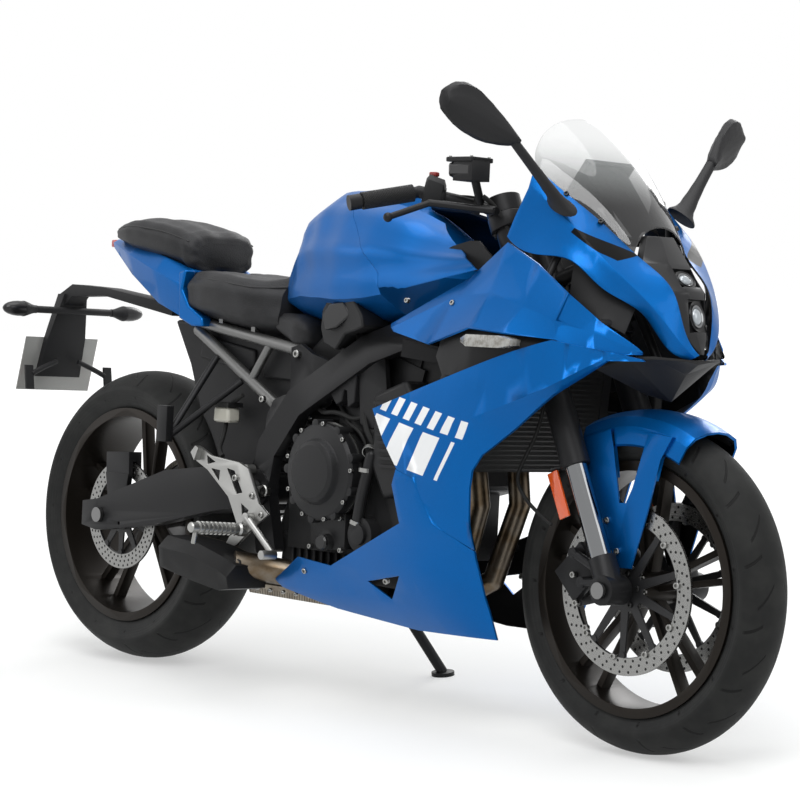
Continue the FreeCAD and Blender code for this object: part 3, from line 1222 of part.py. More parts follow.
def mirrors():
    """Mirror heads on tapering stalks whose oval feet lie on the nose cowl."""
    foot, joint = Vector(1351, -160, 980), Vector(1324, -272, 1094)
    head = loft([
        [Vector(x + dx, -y, z + dz) for dx, dz in ((14, -4), (4, h), (-12, 0), (4, -h))]
        for x, y, z, h in ((1326, 266, 1090, 8), (1314, 300, 1112, 30), (1300, 340, 1138, 47), (1286, 388, 1154, 34),
                           (1280, 408, 1156, 12))
    ])
    way = (joint - foot).normalize()
    fore = Vector(0.92, 0, -0.4)
    across = way.cross(fore).normalize()

    def oval(at, half_long, half_wide):
        middle = foot + way * at
        turns = [math.pi * i / 6 for i in range(12)]
        return [middle + fore * (half_long * math.cos(t)) + across * (half_wide * math.sin(t)) for t in turns]

    length = (joint - foot).Length
    stalk = loft([oval(-30, 38, 17), oval(4, 38, 17), oval(16, 25, 13), oval(length * 0.5, 17, 9), oval(length, 12, 8)])
    cowl = shape_of("nose_cowl")
    for shift in (0, S.fit_gap, S.fit_gap * 2):
        stalk = stalk.cut(Part.makeCompound([s.translated(way * shift) for s in cowl.Solids]))
    stalk = min(stalk.Solids, key=lambda solid: solid.CenterOfMass.y)
    piece("mirrors", both(fused([stalk, Part.makeSphere(9, joint), head])))


def inner_panels():
    """Dark panels behind the notch and in the front mouth of each side fairing, on bosses to wing and arm."""
    sheet = panel([
        (1090, [(186, 790), (206, 735), (222, 640)]),
        (1200, [(200, 800), (226, 740), (230, 640)]),
        (1310, [(196, 790), (222, 730), (212, 640)]),
        (1380, [(178, 780), (194, 735), (186, 680)]),
    ], S.panel_wall)
    sheet = cut_to(sheet, [(1096, 700), (1110, 760), (1230, 792), (1340, 770), (1374, 735), (1360, 702), (1290, 676), (1140, 645)])
    fairing = shape_of("side_fairings")
    bosses = [stay(Vector(x, y, z), Vector(x, -300, z), 8, fairing)
              for x, y, z in ((1150, -221, 660), (1290, -216, 690), (1240, -208, 770))]
    mouth = skin([[(1374, 146, 894), (1408, 130, 874), (1446, 102, 838), (1470, 78, 818)],
                  [(1374, 154, 812), (1408, 148, 795), (1446, 128, 772), (1470, 110, 757)]], S.panel_wall)
    mouth_boss = stay(Vector(1446, -124, 776), Vector(1446, -300, 776), 7, fairing)
    piece("inner_panels", both(Part.makeCompound([fused([sheet] + bosses), fused([mouth, mouth_boss])])))


def indicators():
    """Lamps on the side fairings and on the plate hanger's cross tube."""
    lens = loft([
        [Vector(x, -y, z) for y, z in ((o, 733 + h), (o, 733 - h), (216, 733 - h), (216, 733 + h))]
        for x, o, h in ((1196, 250, 4), (1222, 262, 11), (1300, 258, 11), (1318, 246, 6))
    ])
    for seat in (shape_of("side_fairings"), shape_of("inner_panels")):
        for shift in (0, -S.fit_gap):
            lens = lens.cut(Part.makeCompound([s.translated(Vector(0, shift, 0)) for s in seat.Solids]))
    lens = min(lens.Solids, key=lambda solid: solid.CenterOfMass.y)
    lamp = turned(Vector(-322, -104 - S.fit_gap, 752), Vector(0, -1, 0),
                  [(9, 0), (12, 12), (17, 30), (18, 62), (13, 82), (6, 90)])
    piece("front_indicators", both(lens))
    piece("rear_indicators", both(lamp))


def instrument_panel():
    """Dash with the hood that runs from its top edge down ahead of it under the screen."""
    shape = box((-6, 6), (-62, 62), (-48, 48))
    shape.Placement = Placement(Vector(1284, 0, 1034), Rotation(Vector(0, 1, 0), 38))
    hood = hull([(x, [(0, z), (w * 0.6, z - 6), (w, z - 26), (w - 3, z - 26), (w * 0.6 - 2, z - 9), (0, z - 3)])
                 for x, z, w in ((1306, 1076, 60), (1340, 1040, 55), (1385, 992, 47), (1418, 953, 38))])
    piece("instrument_panel", fused([shape, hood]))


def foot_controls():
    plate = [(372, 486), (410, 470), (500, 462), (528, 452), (566, 384), (596, 364), (560, 340), (500, 292), (470, 296),
             (500, 340), (470, 390), (400, 440), (362, 456)]
    right = side_plate(plate, -168, -176)
    boss = rod(Vector(512, -148 - S.fit_gap, 448), Vector(512, -170, 448), 11)
    peg = rod(Vector(524, -176, 328), Vector(520, -312, 334), 11)
    piece("rearsets", both(fused([right, peg, boss])))
    pivot = Vector(548, -176 - S.fit_gap, 354)
    pedal = [rod(pivot, pivot - Vector(0, 18, 0), 10), rod(pivot - Vector(0, 12, 0), Vector(640, -194, 288), 7),
             rod(Vector(640, -190, 288), Vector(640, -226, 288), 9)]
    piece("foot_levers", both(fused(pedal)))
    foot = Vector(300, -206, 500)
    frame = shape_of("subframe")
    hanger = [stay(foot, Vector(425, -102, 634), 7, frame), stay(foot, Vector(330, -98, 683), 7, frame),
              Part.makeSphere(7, foot), box((284, 316), (-222, -204), (492, 566))]
    piece("pillion_pegs", both(fused(hanger)))


def side_stand():
    """Leg from its pivot on the left lower frame to a foot that lies flat on the road."""
    lean = math.radians(S.lean)
    foot_up = Vector(0, -math.sin(lean), math.cos(lean))
    # A leaned round tread sinks a little below the upright bike's road.
    crown = ((S.rear_tyre_width / 2 - 3) ** 2 + S.tread_drop ** 2) / (2 * S.tread_drop)
    sink = crown * (1 - math.cos(lean)) * 0.8
    ground = Vector(S.stand_foot_ahead, S.stand_foot_side, S.stand_foot_side * math.tan(lean)) - foot_up * sink
    foot = rod(ground, ground + foot_up * 8, S.stand_foot_radius)
    leg = rod(ground + foot_up * 6, STAND_PIVOT + (ground - STAND_PIVOT).normalize() * 10, S.stand_leg_radius)
    eye = rod(STAND_PIVOT - STAND_AXIS * S.stand_eye_half, STAND_PIVOT + STAND_AXIS * S.stand_eye_half, 18)
    bore = rod(STAND_PIVOT - STAND_AXIS * 40, STAND_PIVOT + STAND_AXIS * 40, S.stand_bolt_radius + S.running_gap)
    piece("side_stand", fused([foot, leg, eye]).cut(bore))


def build():
    wheels()
    sprocket_and_chain()
    fork()
    bars()
    front_fender()
    calipers()
    swingarm()
    rear_shock()
    side_fairing()
    tank()
    seats()
    tail()
    plate_hanger()
    belly_fairing()
    nose()
    windscreen()
    mirrors()
    inner_panels()
    indicators()
    instrument_panel()
    main_frame()
    fairing_stay()
    subframe()
    engine()
    exhaust()
    radiator()
    foot_controls()
    side_stand()


def leaned():
    """Placement that leans the bike onto its stand, with its footprint round the origin."""
    tilt = Placement(Vector(), Rotation(Vector(1, 0, 0), -S.lean))
    bounds = FreeCAD.BoundBox()
    for thing, local in PIECES.values():
        shape = thing.Shape.copy()
        shape.Placement = tilt.multiply(local)
        bounds.add(shape.optimalBoundingBox(False, False))
    return Placement(Vector(-bounds.Center.x, -bounds.Center.y, -bounds.ZMin), Rotation()).multiply(tilt)


def check():
    for thing in DOC.Objects:
        if "Invalid" in thing.State or "Error" in thing.State:
            raise RuntimeError("%s did not build: %s" % (thing.Name, thing.State))
    for name, (thing, _) in PIECES.items():
        if thing.Shape.isNull() or not thing.Shape.isValid() or not thing.Shape.Solids:
            raise RuntimeError("%s has no valid solid" % name)


build()
DOC.recompute()
check()
frame_place = leaned()
for thing, local in PIECES.values():
    thing.Placement = frame_place.multiply(local)
DOC.recompute()
check()
os.makedirs("parts", exist_ok=True)
for name, (thing, _) in PIECES.items():
    thing.Shape.exportStep("parts/%s.step" % name)
print("origin of the upright bike:", frame_place.Base, "pieces:", len(PIECES))
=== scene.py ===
import json
import math

import bmesh
import bpy
from mathutils import Matrix, Vector


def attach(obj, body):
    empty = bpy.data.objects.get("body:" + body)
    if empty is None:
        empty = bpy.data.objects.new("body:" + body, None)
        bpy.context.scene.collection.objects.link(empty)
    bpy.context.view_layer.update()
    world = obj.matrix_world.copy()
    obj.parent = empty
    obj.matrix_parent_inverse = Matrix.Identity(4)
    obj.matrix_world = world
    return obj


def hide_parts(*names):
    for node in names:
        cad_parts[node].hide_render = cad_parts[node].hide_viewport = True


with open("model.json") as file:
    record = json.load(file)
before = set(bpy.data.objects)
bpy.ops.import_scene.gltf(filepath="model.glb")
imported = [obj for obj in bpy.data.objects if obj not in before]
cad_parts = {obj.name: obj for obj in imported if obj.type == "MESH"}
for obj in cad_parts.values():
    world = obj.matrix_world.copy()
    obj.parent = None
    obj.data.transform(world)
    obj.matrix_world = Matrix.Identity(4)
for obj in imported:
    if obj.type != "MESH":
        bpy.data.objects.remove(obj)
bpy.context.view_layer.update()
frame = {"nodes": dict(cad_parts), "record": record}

# Dress of the sport bike: finishes for the solids that show, and finer pieces over the plain ones.
# Pieces are drawn in the upright bike's own frame, in millimetres: x forward from the rear
# axle, y to the rider's left, z up from the road. BIKE leans them onto the side stand.

nodes = frame["nodes"]
behaviour = frame["record"]["behaviour"]
body_of = {node: body for body, names in behaviour["bodies"].items() for node in names}
rear_spin = next(joint for joint in behaviour["joints"] if joint["name"] == "rear_wheel_spin")
axle_way = Vector(rear_spin["axis"])

MM = 0.001
TURN = 2 * math.pi
LEFT, RIGHT = (0, 1, 0), (0, -1, 0)
REAR_RADIUS, FRONT_RADIUS, WHEELBASE = 315, 300, 1465
RAKE, FORK_OFFSET = math.radians(25), 30
LEAN = math.atan2(-axle_way.z, axle_way.y)
BIKE = (Matrix.Translation(Vector(rear_spin["pos_m"])) @ Matrix.Rotation(-LEAN, 4, "X")
        @ Matrix.Translation((0, 0, -REAR_RADIUS * MM)) @ Matrix.Scale(MM, 4))
UP_FORK = Vector((-math.sin(RAKE), 0, math.cos(RAKE)))
AHEAD_FORK = Vector((math.cos(RAKE), 0, math.sin(RAKE)))
FRONT_AXLE = Vector((WHEELBASE, 0, FRONT_RADIUS))
REAR_AXLE = Vector((0, 0, REAR_RADIUS))
STEER_FOOT = FRONT_AXLE - AHEAD_FORK * FORK_OFFSET

# Finishes, whose sizes are in metres

FINISHES = {}


class Socket:
    """A value in a finish, with arithmetic that adds its Math nodes."""

    def __init__(self, finish, socket):
        self.finish, self.socket = finish, socket

    def math(self, operation, *others):
        return self.finish.node("Math", {"operation": operation}, self, *others)

    def __add__(self, other):
        return self.math("ADD", other)

    def __sub__(self, other):
        return self.math("SUBTRACT", other)

    def __rsub__(self, other):
        return self.finish.node("Math", {"operation": "SUBTRACT"}, other, self)

    def __mul__(self, other):
        return self.math("MULTIPLY", other)

    __radd__ = __add__
    __rmul__ = __mul__

    def above(self, low, high):
        """0 below low, 1 above high and a smooth rise between."""
        return self.finish.node("MapRange", {"interpolation_type": "SMOOTHSTEP"}, self, low, high, 0, 1)

    def below(self, low, high):
        return 1 - self.above(low, high)

    def within(self, low, high, edge):
        """1 between low and high, with smooth edges inside them."""
        return self.above(low, low + edge) * self.below(high - edge, high)

    def wave(self, per_metre):
        """Sine of the value, with so many waves to the metre."""
        return (self * (TURN * per_metre)).math("SINE")


class Finish:
    """A material of one glossy shader, kept under its name. Numbers go straight onto its sockets."""

    def __init__(self, name, colour, roughness=0.5, metallic=0.0, **more):
        FINISHES[name] = self
        self.roughness = roughness
        self.material = bpy.data.materials.new(name.replace(" ", "_"))
        self.material.use_nodes = True
        self.tree = self.material.node_tree
        self.tree.nodes.clear()
        self.shader = self.tree.nodes.new("ShaderNodeBsdfPrincipled")
        self.out = self.tree.nodes.new("ShaderNodeOutputMaterial")
        self.tree.links.new(self.shader.outputs[0], self.out.inputs[0])
        self.set("Base Color", (*colour, 1))
        self.set("Roughness", roughness)
        self.set("Metallic", metallic)
        for key, number in more.items():
            self.set(key.replace("_", " ").title().replace("Ior", "IOR"), number)

    def set(self, name, what):
        self._feed(self.shader.inputs[name], what)

    def _feed(self, socket, what):
        if isinstance(what, Socket):
            self.tree.links.new(what.socket, socket)
        else:
            socket.default_value = what

    def node(self, kind, settings, *inputs, output=0, **named):
        """Adds a node of this kind; settings come before its inputs are fed."""
        node = self.tree.nodes.new("ShaderNode" + kind)
        for key, setting in settings.items():
            if key == "stops":
                ramp = node.color_ramp.elements
                ramp[0].position, ramp[0].color = setting[0]
                ramp[1].position, ramp[1].color = setting[-1]
                for place, colour in setting[1:-1]:
                    ramp.new(place).color = colour
            else:
                setattr(node, key, setting)
        for socket, what in zip(node.inputs, inputs):
            self._feed(socket, what)
        for key, what in named.items():
            self._feed(node.inputs[key], what)
        return Socket(self, node.outputs[output])

    def place(self):
        return self.node("TexCoord", {}, output=3)

    def parts(self, vector):
        return [self.node("SeparateXYZ", {}, vector, output=i) for i in range(3)]

    def bike_place(self):
        """x, y and z of the upright bike."""
        shifted = self.node("VectorMath", {"operation": "SUBTRACT"}, self.place(), BIKE.translation)
        upright = {"vector_type": "POINT"}
        return self.parts(self.node("Mapping", upright, shifted, (0, 0, 0), (LEAN, 0, 0), (1, 1, 1)))

    def wheel_place(self, axle):
        """Distance from a wheel's axle, angle round it and distance from the bike's middle."""
        x, y, z = self.bike_place()
        ahead, rise = x - axle.x * MM, z - axle.z * MM
        return (ahead * ahead + rise * rise).math("SQRT"), rise.math("ARCTAN2", ahead), y.math("ABSOLUTE")

    def noise(self, size, detail=3.0):
        """Cloudy pattern whose lumps are about size across."""
        return self.node("TexNoise", {}, Vector=self.place(), Scale=1 / size, Detail=detail, Roughness=0.55)

    def cells(self, size, feature="F1"):
        return self.node("TexVoronoi", {"feature": feature}, Vector=self.place(), Scale=1 / size)

    def mix(self, share, first, second):
        """Colour between two others, each a colour or a socket."""
        node = self.tree.nodes.new("ShaderNodeMix")
        node.data_type = "RGBA"
        for socket, what in ((node.inputs[0], share), (node.inputs[6], first), (node.inputs[7], second)):
            self._feed(socket, what if isinstance(what, Socket) else (*what, 1))
        return Socket(self, node.outputs[2])

    def bump(self, height, depth):
        self.set("Normal", self.node("Bump", {}, Height=height, Distance=depth, Strength=1.0))

    def grain(self, size, depth, spread):
        """Fine grain in the surface and a little cloud in its roughness."""
        self.set("Roughness", self.noise(size * 60) * spread + (self.roughness - spread / 2))
        self.bump(self.noise(size, 4.0), depth)


BLUE = (0.0001, 0.1, 0.35)
DULL = {"specular_ior_level": 0.22}


def paint(name, marks_and_shade=None, mark_and_shade_colour=None):
    """Metallic blue under clear lacquer, bare on its inner side, with marks in another colour: printed
    stripes, and the painted shade of a slot.
    """
    made = Finish(name, BLUE, 0.4, 0.68, coat_weight=0.22, coat_roughness=0.04, coat_ior=1.3,
                  specular_ior_level=0.1)
    x, y, z = made.bike_place()
    flakes = made.cells(0.0006).above(0.1, 0.9) * 0.6 + made.noise(0.14, 2.0) * 0.4
    coloured = made.mix(flakes.above(0.2, 0.8), [c * 0.86 for c in BLUE], [c * 1.12 + 0.0006 for c in BLUE])
    outwards = made.parts(made.node("TexCoord", {}, output=1))[1] * y.math("SIGN")
    coloured = made.mix(outwards.below(-0.5, -0.4), coloured, (0.008, 0.008, 0.0085))
    if marks_and_shade:
        coloured = made.mix(marks_and_shade(x, z), coloured, mark_and_shade_colour)
    made.set("Base Color", coloured)
    made.bump(made.noise(0.012, 1.0), 0.00005)


def nose_slot_shade(x, z):
    """The nose cowl's slot as painted shade: a thin near-black wedge along a slanted line where the opening
    lies.
    """
    ahead, rise = x - 1.373, z - 0.943
    down, off = ahead * 0.84 - rise * 0.54, ahead * 0.54 + rise * 0.84
    along = down.within(0.004, 0.093, 0.0005)
    return along * off.above(-0.006, -0.0055) * (off - down * 0.06).below(0.0035, 0.004)


def bars(x, z):
    """Two rows of slanted bars over the arm of the side fairing."""
    across, up = x - z * 0.62, z + x * 0.2
    upper = (across.wave(26) * 0.5 + 0.5).above(0.42, 0.5) * across.within(0.568, 0.863, 0.001)
    lower = (across.wave(13) * 0.5 + 0.5).above(0.3, 0.36) * across.within(0.6, 0.851, 0.001)
    return upper * up.within(0.792, 0.829, 0.001) + lower * up.within(0.7, 0.783, 0.001)


def seat_finish():
    """Charcoal seat vinyl with a pebbled leather grain."""
    made = Finish("seat vinyl", (0.02, 0.02, 0.0215), **DULL)
    pebbles = made.cells(0.0022, "SMOOTH_F1")
    cloud = made.noise(0.05)
    made.set("Base Color", made.mix(cloud.above(0.3, 0.75), (0.016, 0.016, 0.0172), (0.027, 0.027, 0.029)))
    made.set("Roughness", pebbles * 0.1 + cloud * 0.12 + 0.42)
    made.bump(pebbles.above(0.05, 0.7) * 0.7 + made.noise(0.0006) * 0.3, 0.00035)


def rubber_finish(name, axle, outer, half):
    """Tyre rubber: matt tread with slanted sipes painted near-black as their shade, a glossier wall with its
    moulded rings.
    """
    made = Finish(name, (0.011, 0.0118, 0.0112), specular_ior_level=0.2)
    radius, angle, side = made.wheel_place(axle)
    wall = radius.below((outer - 42) * MM, (outer - 34) * MM)
    rings = radius.wave(160) * wall * radius.above((outer - 72) * MM, (outer - 66) * MM)
    count = 15

    def sipes(slant, near, far, offset):
        """Cuts from near the crown's middle to the shoulder."""
        turn = (angle + side * slant - side * side * 30) * (count / TURN) + offset
        off = (turn.math("FRACT") - 0.5).math("ABSOLUTE") * (TURN * outer * MM / count)
        return off.below(0.0026, 0.0038) * side.within(near, far, 0.003)

    shaded_grooves = sipes(7, 0.012, half * 0.72, 0).math("MAXIMUM", sipes(5, half * 0.5, half * 0.94, 0.5))
    shaded_grooves = shaded_grooves * radius.above((outer - 62) * MM, (outer - 60) * MM)
    cloud = made.mix(made.noise(0.05).above(0.35, 0.7), (0.0095, 0.0098, 0.0098), (0.0165, 0.0168, 0.0162))
    # Painted shade: the sipes are near-black in the colour, besides their cut in the bump
    made.set("Base Color", made.mix(shaded_grooves, cloud, (0.002, 0.002, 0.002)))
    made.set("Roughness", made.noise(0.03) * 0.12 + 0.62 - wall * 0.12)
    made.bump(made.noise(0.0012, 4.0) * 0.1 + rings * 0.04 - shaded_grooves, 0.0022)


def disc_finish(name, axle, inner, outer):
    """Brake disc: fine turned rings, drilled holes painted near-black as their shade, and a dark carrier
    inside.
    """
    made = Finish(name, (0.46, 0.46, 0.46))
    radius, angle, _ = made.wheel_place(axle)
    track = radius.above((inner + 0.5) * MM, (inner + 1.5) * MM)
    rows, count, shaded_holes = (0.2, 0.5, 0.8), 44, 0
    for row, share in enumerate(rows):
        ring = (inner + (outer - inner) * share) * MM
        turn = (angle + TURN * row / (len(rows) * count)) * (count / TURN)
        off = (turn.math("FRACT") - 0.5) * (TURN * ring / count)
        away = radius - ring
        shaded_holes = (off * off + away * away).math("SQRT").below(0.0024, 0.0028) + shaded_holes
    scratches = made.node("TexNoise", {"noise_dimensions": "1D"}, W=radius * 3000, Scale=1.0, Detail=2.0)
    metal = made.mix(scratches.above(0.3, 0.7), (0.2, 0.2, 0.195), (0.33, 0.33, 0.32))
    # Painted shade: the drilled holes are near-black in the colour
    made.set("Base Color", made.mix(track, (0.012, 0.012, 0.013),
                                    made.mix(shaded_holes, metal, (0.006, 0.006, 0.006))))
    made.set("Metallic", track * (1 - shaded_holes * 0.9) * 0.65 + 0.35)
    made.set("Roughness", scratches * 0.16 + 0.2 + shaded_holes * 0.4 + (1 - track) * 0.14)
    made.bump(scratches * 0.2 - shaded_holes, 0.0005)


def exhaust_finish():
    """Stainless pipe browned by heat."""
    made = Finish("heated steel", (0.3, 0.25, 0.19), metallic=1.0)
    cloud, fine = made.noise(0.045, 5.0), made.noise(0.004, 4.0)
    made.set("Base Color", made.node("ValToRGB", {"stops": (
        (0.28, (0.05, 0.032, 0.018, 1)), (0.45, (0.12, 0.088, 0.056, 1)), (0.62, (0.17, 0.145, 0.115, 1)),
        (0.8, (0.09, 0.07, 0.055, 1)))}, cloud))
    made.set("Roughness", cloud * 0.25 + fine * 0.1 + 0.16)
    made.bump(fine, 0.00008)


def radiator_finish():
    """Core of thin fins between flat tubes, with painted shade in the gaps between them, and plain black
    tanks at its ends.
    """
    made = Finish("radiator core", (0.03, 0.03, 0.031), metallic=0.6)
    _, y, z = made.bike_place()
    core = y.math("ABSOLUTE").below(0.172, 0.174)
    tubes = z.wave(110).above(0.35, 0.75)
    fins = (y + z * 0.02).wave(640) * 0.5 + 0.5
    depth = core * (1 - tubes) * (1 - fins)
    # Painted shade: the core's gaps between fins and tubes go near-black by their depth
    made.set("Base Color", made.mix(depth, (0.045, 0.045, 0.046), (0.004, 0.004, 0.004)))
    made.set("Roughness", made.noise(0.02) * 0.12 + 0.36)
    made.bump(1 - depth, 0.0012)


def glass_finish():
    """Lightly smoked screen, darker towards its foot."""
    made = Finish("smoked screen", (0.42, 0.44, 0.45), coat_weight=0.6)
    low = made.bike_place()[2].below(0.98, 1.13)
    made.set("Base Color", made.mix(low, (0.46, 0.48, 0.48), (0.012, 0.012, 0.013)))
    made.set("Alpha", low * 0.6 + 0.15)
    made.set("Roughness", made.noise(0.08) * 0.03 + 0.03)


def indicator_finish():
    """Pale moulded cover with fine upright ribs."""
    made = Finish("indicator lens", (0.5, 0.47, 0.42), coat_weight=1.0)
    ribs = made.bike_place()[0].wave(180) * 0.5 + 0.5
    made.set("Base Color", made.mix(made.noise(0.009).above(0.35, 0.75), (0.36, 0.355, 0.335),
                                    (0.2, 0.185, 0.16)))
    made.set("Roughness", ribs * 0.12 + 0.08)
    made.bump(ribs, 0.0006)


def lens_finish(name, colour):
    """Glossy coloured lens with small prisms."""
    made = Finish(name, colour, 0.12, coat_weight=1.0)
    made.bump(made.cells(0.0035), 0.0004)


def chain_finish():
    """Steel links with dark grease in their hollows."""
    made = Finish("chain steel", (0.3, 0.28, 0.24), 0.38, 1.0)
    made.set("Base Color", made.mix(made.noise(0.006).above(0.4, 0.7), (0.32, 0.3, 0.26),
                                    (0.08, 0.075, 0.07)))
    made.grain(0.002, 0.00006, 0.2)


def grip_finish():
    """Grip rubber with a fine diamond pattern."""
    made = Finish("grip rubber", (0.0115, 0.0115, 0.012), **DULL)
    x, y, z = made.bike_place()
    made.set("Roughness", made.noise(0.01) * 0.14 + 0.53)
    made.bump((y + x * 0.5).wave(260) * (z * 0.8 + x * 0.35).wave(260), 0.0005)


def silencer_finish():
    """Black coated silencer outside, browned steel of the collector box inside, with its slots painted darker
    as their shade.
    """
    made = Finish("silencer black", (0.012, 0.012, 0.0125), **DULL)
    x, y, z = made.bike_place()
    inside = y.above(-0.134, -0.13)
    cloud = made.noise(0.03, 5.0)
    silencer_slot_shade = (x - z * 0.5).wave(130).above(0.55, 0.7) * z.below(0.2, 0.204)
    brown = made.mix(cloud.above(0.3, 0.7), (0.16, 0.13, 0.1), (0.3, 0.27, 0.22))
    # Painted shade: the collector's slanted slots are a darker brown
    made.set("Base Color", made.mix(inside, (0.012, 0.012, 0.0125),
                                    made.mix(silencer_slot_shade, brown, (0.05, 0.042, 0.034))))
    made.set("Metallic", inside * 0.5 + 0.4)
    made.set("Roughness", cloud * 0.2 + 0.36)
    made.bump(made.noise(0.0012), 0.0001)


paint("blue paint")
# Nose paint with its slot painted near-black as the opening's shade
paint("nose paint", nose_slot_shade, (0.003, 0.003, 0.003))
paint("fairing paint", bars, (0.78, 0.79, 0.8))
seat_finish()
rubber_finish("front rubber", FRONT_AXLE, FRONT_RADIUS, 0.057)
rubber_finish("rear rubber", REAR_AXLE, REAR_RADIUS, 0.087)
disc_finish("front disc steel", FRONT_AXLE, 122, 155)
disc_finish("rear disc steel", REAR_AXLE, 86, 118)
exhaust_finish()
radiator_finish()
glass_finish()
indicator_finish()
lens_finish("red lens", (0.42, 0.006, 0.006))
lens_finish("orange lens", (0.72, 0.09, 0.006))
chain_finish()
grip_finish()
silencer_finish()

# Plain grained finishes: colour, roughness, metallic, size and depth of the grain, spread of the roughness
for name, colour, roughness, metallic, size, depth, spread, more in (
        ("moulded plastic", (0.0125, 0.0125, 0.0135), 0.55, 0, 0.0011, 0.00012, 0.12, DULL),
        ("smooth plastic", (0.009, 0.009, 0.01), 0.3, 0, 0.02, 0.00005, 0.1,
         {**DULL, "coat_weight": 0.3, "coat_roughness": 0.2}),
        ("black coating", (0.014, 0.014, 0.015), 0.42, 0.35, 0.0016, 0.00006, 0.14, DULL),
        ("engine coating", (0.021, 0.021, 0.022), 0.44, 0.4, 0.0022, 0.00014, 0.16, DULL),
        ("wheel coating", (0.017, 0.014, 0.0115), 0.36, 0.6, 0.004, 0.00005, 0.12, DULL),
        ("cast silver", (0.34, 0.34, 0.33), 0.38, 1, 0.0012, 0.0001, 0.14, {}),
        ("grey tube", (0.15, 0.15, 0.148), 0.4, 0.85, 0.0014, 0.00005, 0.12, {}),
        ("steel", (0.2, 0.2, 0.2), 0.32, 1, 0.003, 0.00003, 0.14, {}),
        ("chrome", (0.2, 0.205, 0.21), 0.08, 1, 0.02, 0.00001, 0.05, {}),
        ("soft rubber", (0.012, 0.012, 0.012), 0.62, 0, 0.0008, 0.0001, 0.1, DULL),
        ("bolt silver", (0.3, 0.3, 0.29), 0.3, 1, 0.002, 0.00003, 0.12, {}),
        ("bolt black", (0.03, 0.03, 0.03), 0.35, 0.7, 0.002, 0.00003, 0.12, {}),
        ("red switch", (0.22, 0.012, 0.008), 0.4, 0, 0.003, 0.00004, 0.1, {}),
        ("milky tank", (0.52, 0.5, 0.44), 0.35, 0, 0.01, 0.00004, 0.1, {"coat_weight": 0.4}),
        ("seam thread", (0.03, 0.03, 0.031), 0.6, 0, 0.0014, 0.0002, 0.1, DULL),
        ("lamp glass", (0.34, 0.37, 0.4), 0.06, 0.2, 0.01, 0.00001, 0.04, {"coat_weight": 1}),
        ("mirror glass", (0.75, 0.77, 0.8), 0.03, 1, 0.05, 0.000002, 0.02, {}),
        ("blank plate", (0.34, 0.34, 0.33), 0.4, 0.3, 0.004, 0.00004, 0.1, {})):
    Finish(name, colour, roughness, metallic, **more).grain(size, depth, spread)

# Solids that show as they are
for name, finish in {
        "instrument_panel": "moulded plastic", "fork_outer_tubes": "black coating",
        "handlebars": "black coating", "rear_shock": "black coating", "fairing_stay": "black coating",
        "subframe": "grey tube", "front_axle": "steel", "rear_axle": "steel", "rear_sprocket": "steel",
        "fork_inner_tubes": "chrome", "front_discs": "front disc steel", "rear_disc": "rear disc steel",
        "exhaust_header": "heated steel", "radiator": "radiator core", "windscreen": "smoked screen",
        "chain": "chain steel", "grips": "grip rubber"}.items():
    nodes[name].data.materials.clear()
    nodes[name].data.materials.append(FINISHES[finish].material)

# Making pieces


def finished(name, made, finish, body="chassis", replaces=(), smooth=30, bevel=0):
    """Turns a bmesh drawn in the bike's frame into a piece that rides on a body."""
    mesh = bpy.data.meshes.new(name)
    made.transform(BIKE)
    made.to_mesh(mesh)
    made.free()
    mesh.materials.append(FINISHES[finish].material)
    mesh.polygons.foreach_set("use_smooth", [True] * len(mesh.polygons))
    mesh.set_sharp_from_angle(angle=math.radians(smooth))
    piece = bpy.data.objects.new(name, mesh)
    bpy.context.scene.collection.objects.link(piece)
    if bevel:
        step = piece.modifiers.new("bevel", "BEVEL")
        step.width, step.segments, step.limit_method = bevel * MM, 2, "ANGLE"
        step.angle_limit = math.radians(smooth)
    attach(piece, body)
    if replaces:
        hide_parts(*replaces)
    return piece


def of_kind(geometry, kind):
    """Only the corners, or only the faces, of what an operator returns."""
    return [thing for thing in geometry if isinstance(thing, kind)]


def lathe(start, way, profile, segments=48, closed=False):
    """Spins corners (radius, along) round the line that runs from start along way."""
    made = bmesh.new()
    start, way = Vector(start), Vector(way).normalized()
    side = way.orthogonal().normalized()
    corners = [made.verts.new(start + way * a + side * r) for r, a in profile]
    lines = [made.edges.new(pair) for pair in zip(corners, corners[1:])]
    if closed:
        lines.append(made.edges.new((corners[-1], corners[0])))
    bmesh.ops.spin(made, geom=corners + lines, cent=start, axis=way, angle=TURN, steps=segments,
                   use_merge=True)
    bmesh.ops.remove_doubles(made, verts=made.verts, dist=0.01)
    bmesh.ops.recalc_face_normals(made, faces=made.faces)
    return made


def slab(points, inner, outer):
    """Side view of corners (x, z), pulled out between two values of y."""
    made = bmesh.new()
    face = made.faces.new([made.verts.new((x, inner, z)) for x, z in points])
    pulled = bmesh.ops.extrude_face_region(made, geom=[face])["geom"]
    bmesh.ops.translate(made, vec=(0, outer - inner, 0), verts=of_kind(pulled, bmesh.types.BMVert))
    bmesh.ops.recalc_face_normals(made, faces=made.faces)
    return made


def block(x, y, z):
    """Slab with square corners, between two values each of x, y and z."""
    return slab([(x[0], z[0]), (x[1], z[0]), (x[1], z[1]), (x[0], z[1])], *y)


def bridged(sections, open_ends=False):
    """Skin through closed loops of equally many corners."""
    made = bmesh.new()
    loops = []
    for section in sections:
        corners = [made.verts.new(p) for p in section]
        loops.append([made.edges.new(pair) for pair in zip(corners, corners[1:] + corners[:1])])
        if not open_ends and (section is sections[0] or section is sections[-1]):
            made.faces.new(corners)
    for near, far in zip(loops, loops[1:]):
        bmesh.ops.bridge_loops(made, edges=near + far)
    bmesh.ops.recalc_face_normals(made, faces=made.faces)
    return made


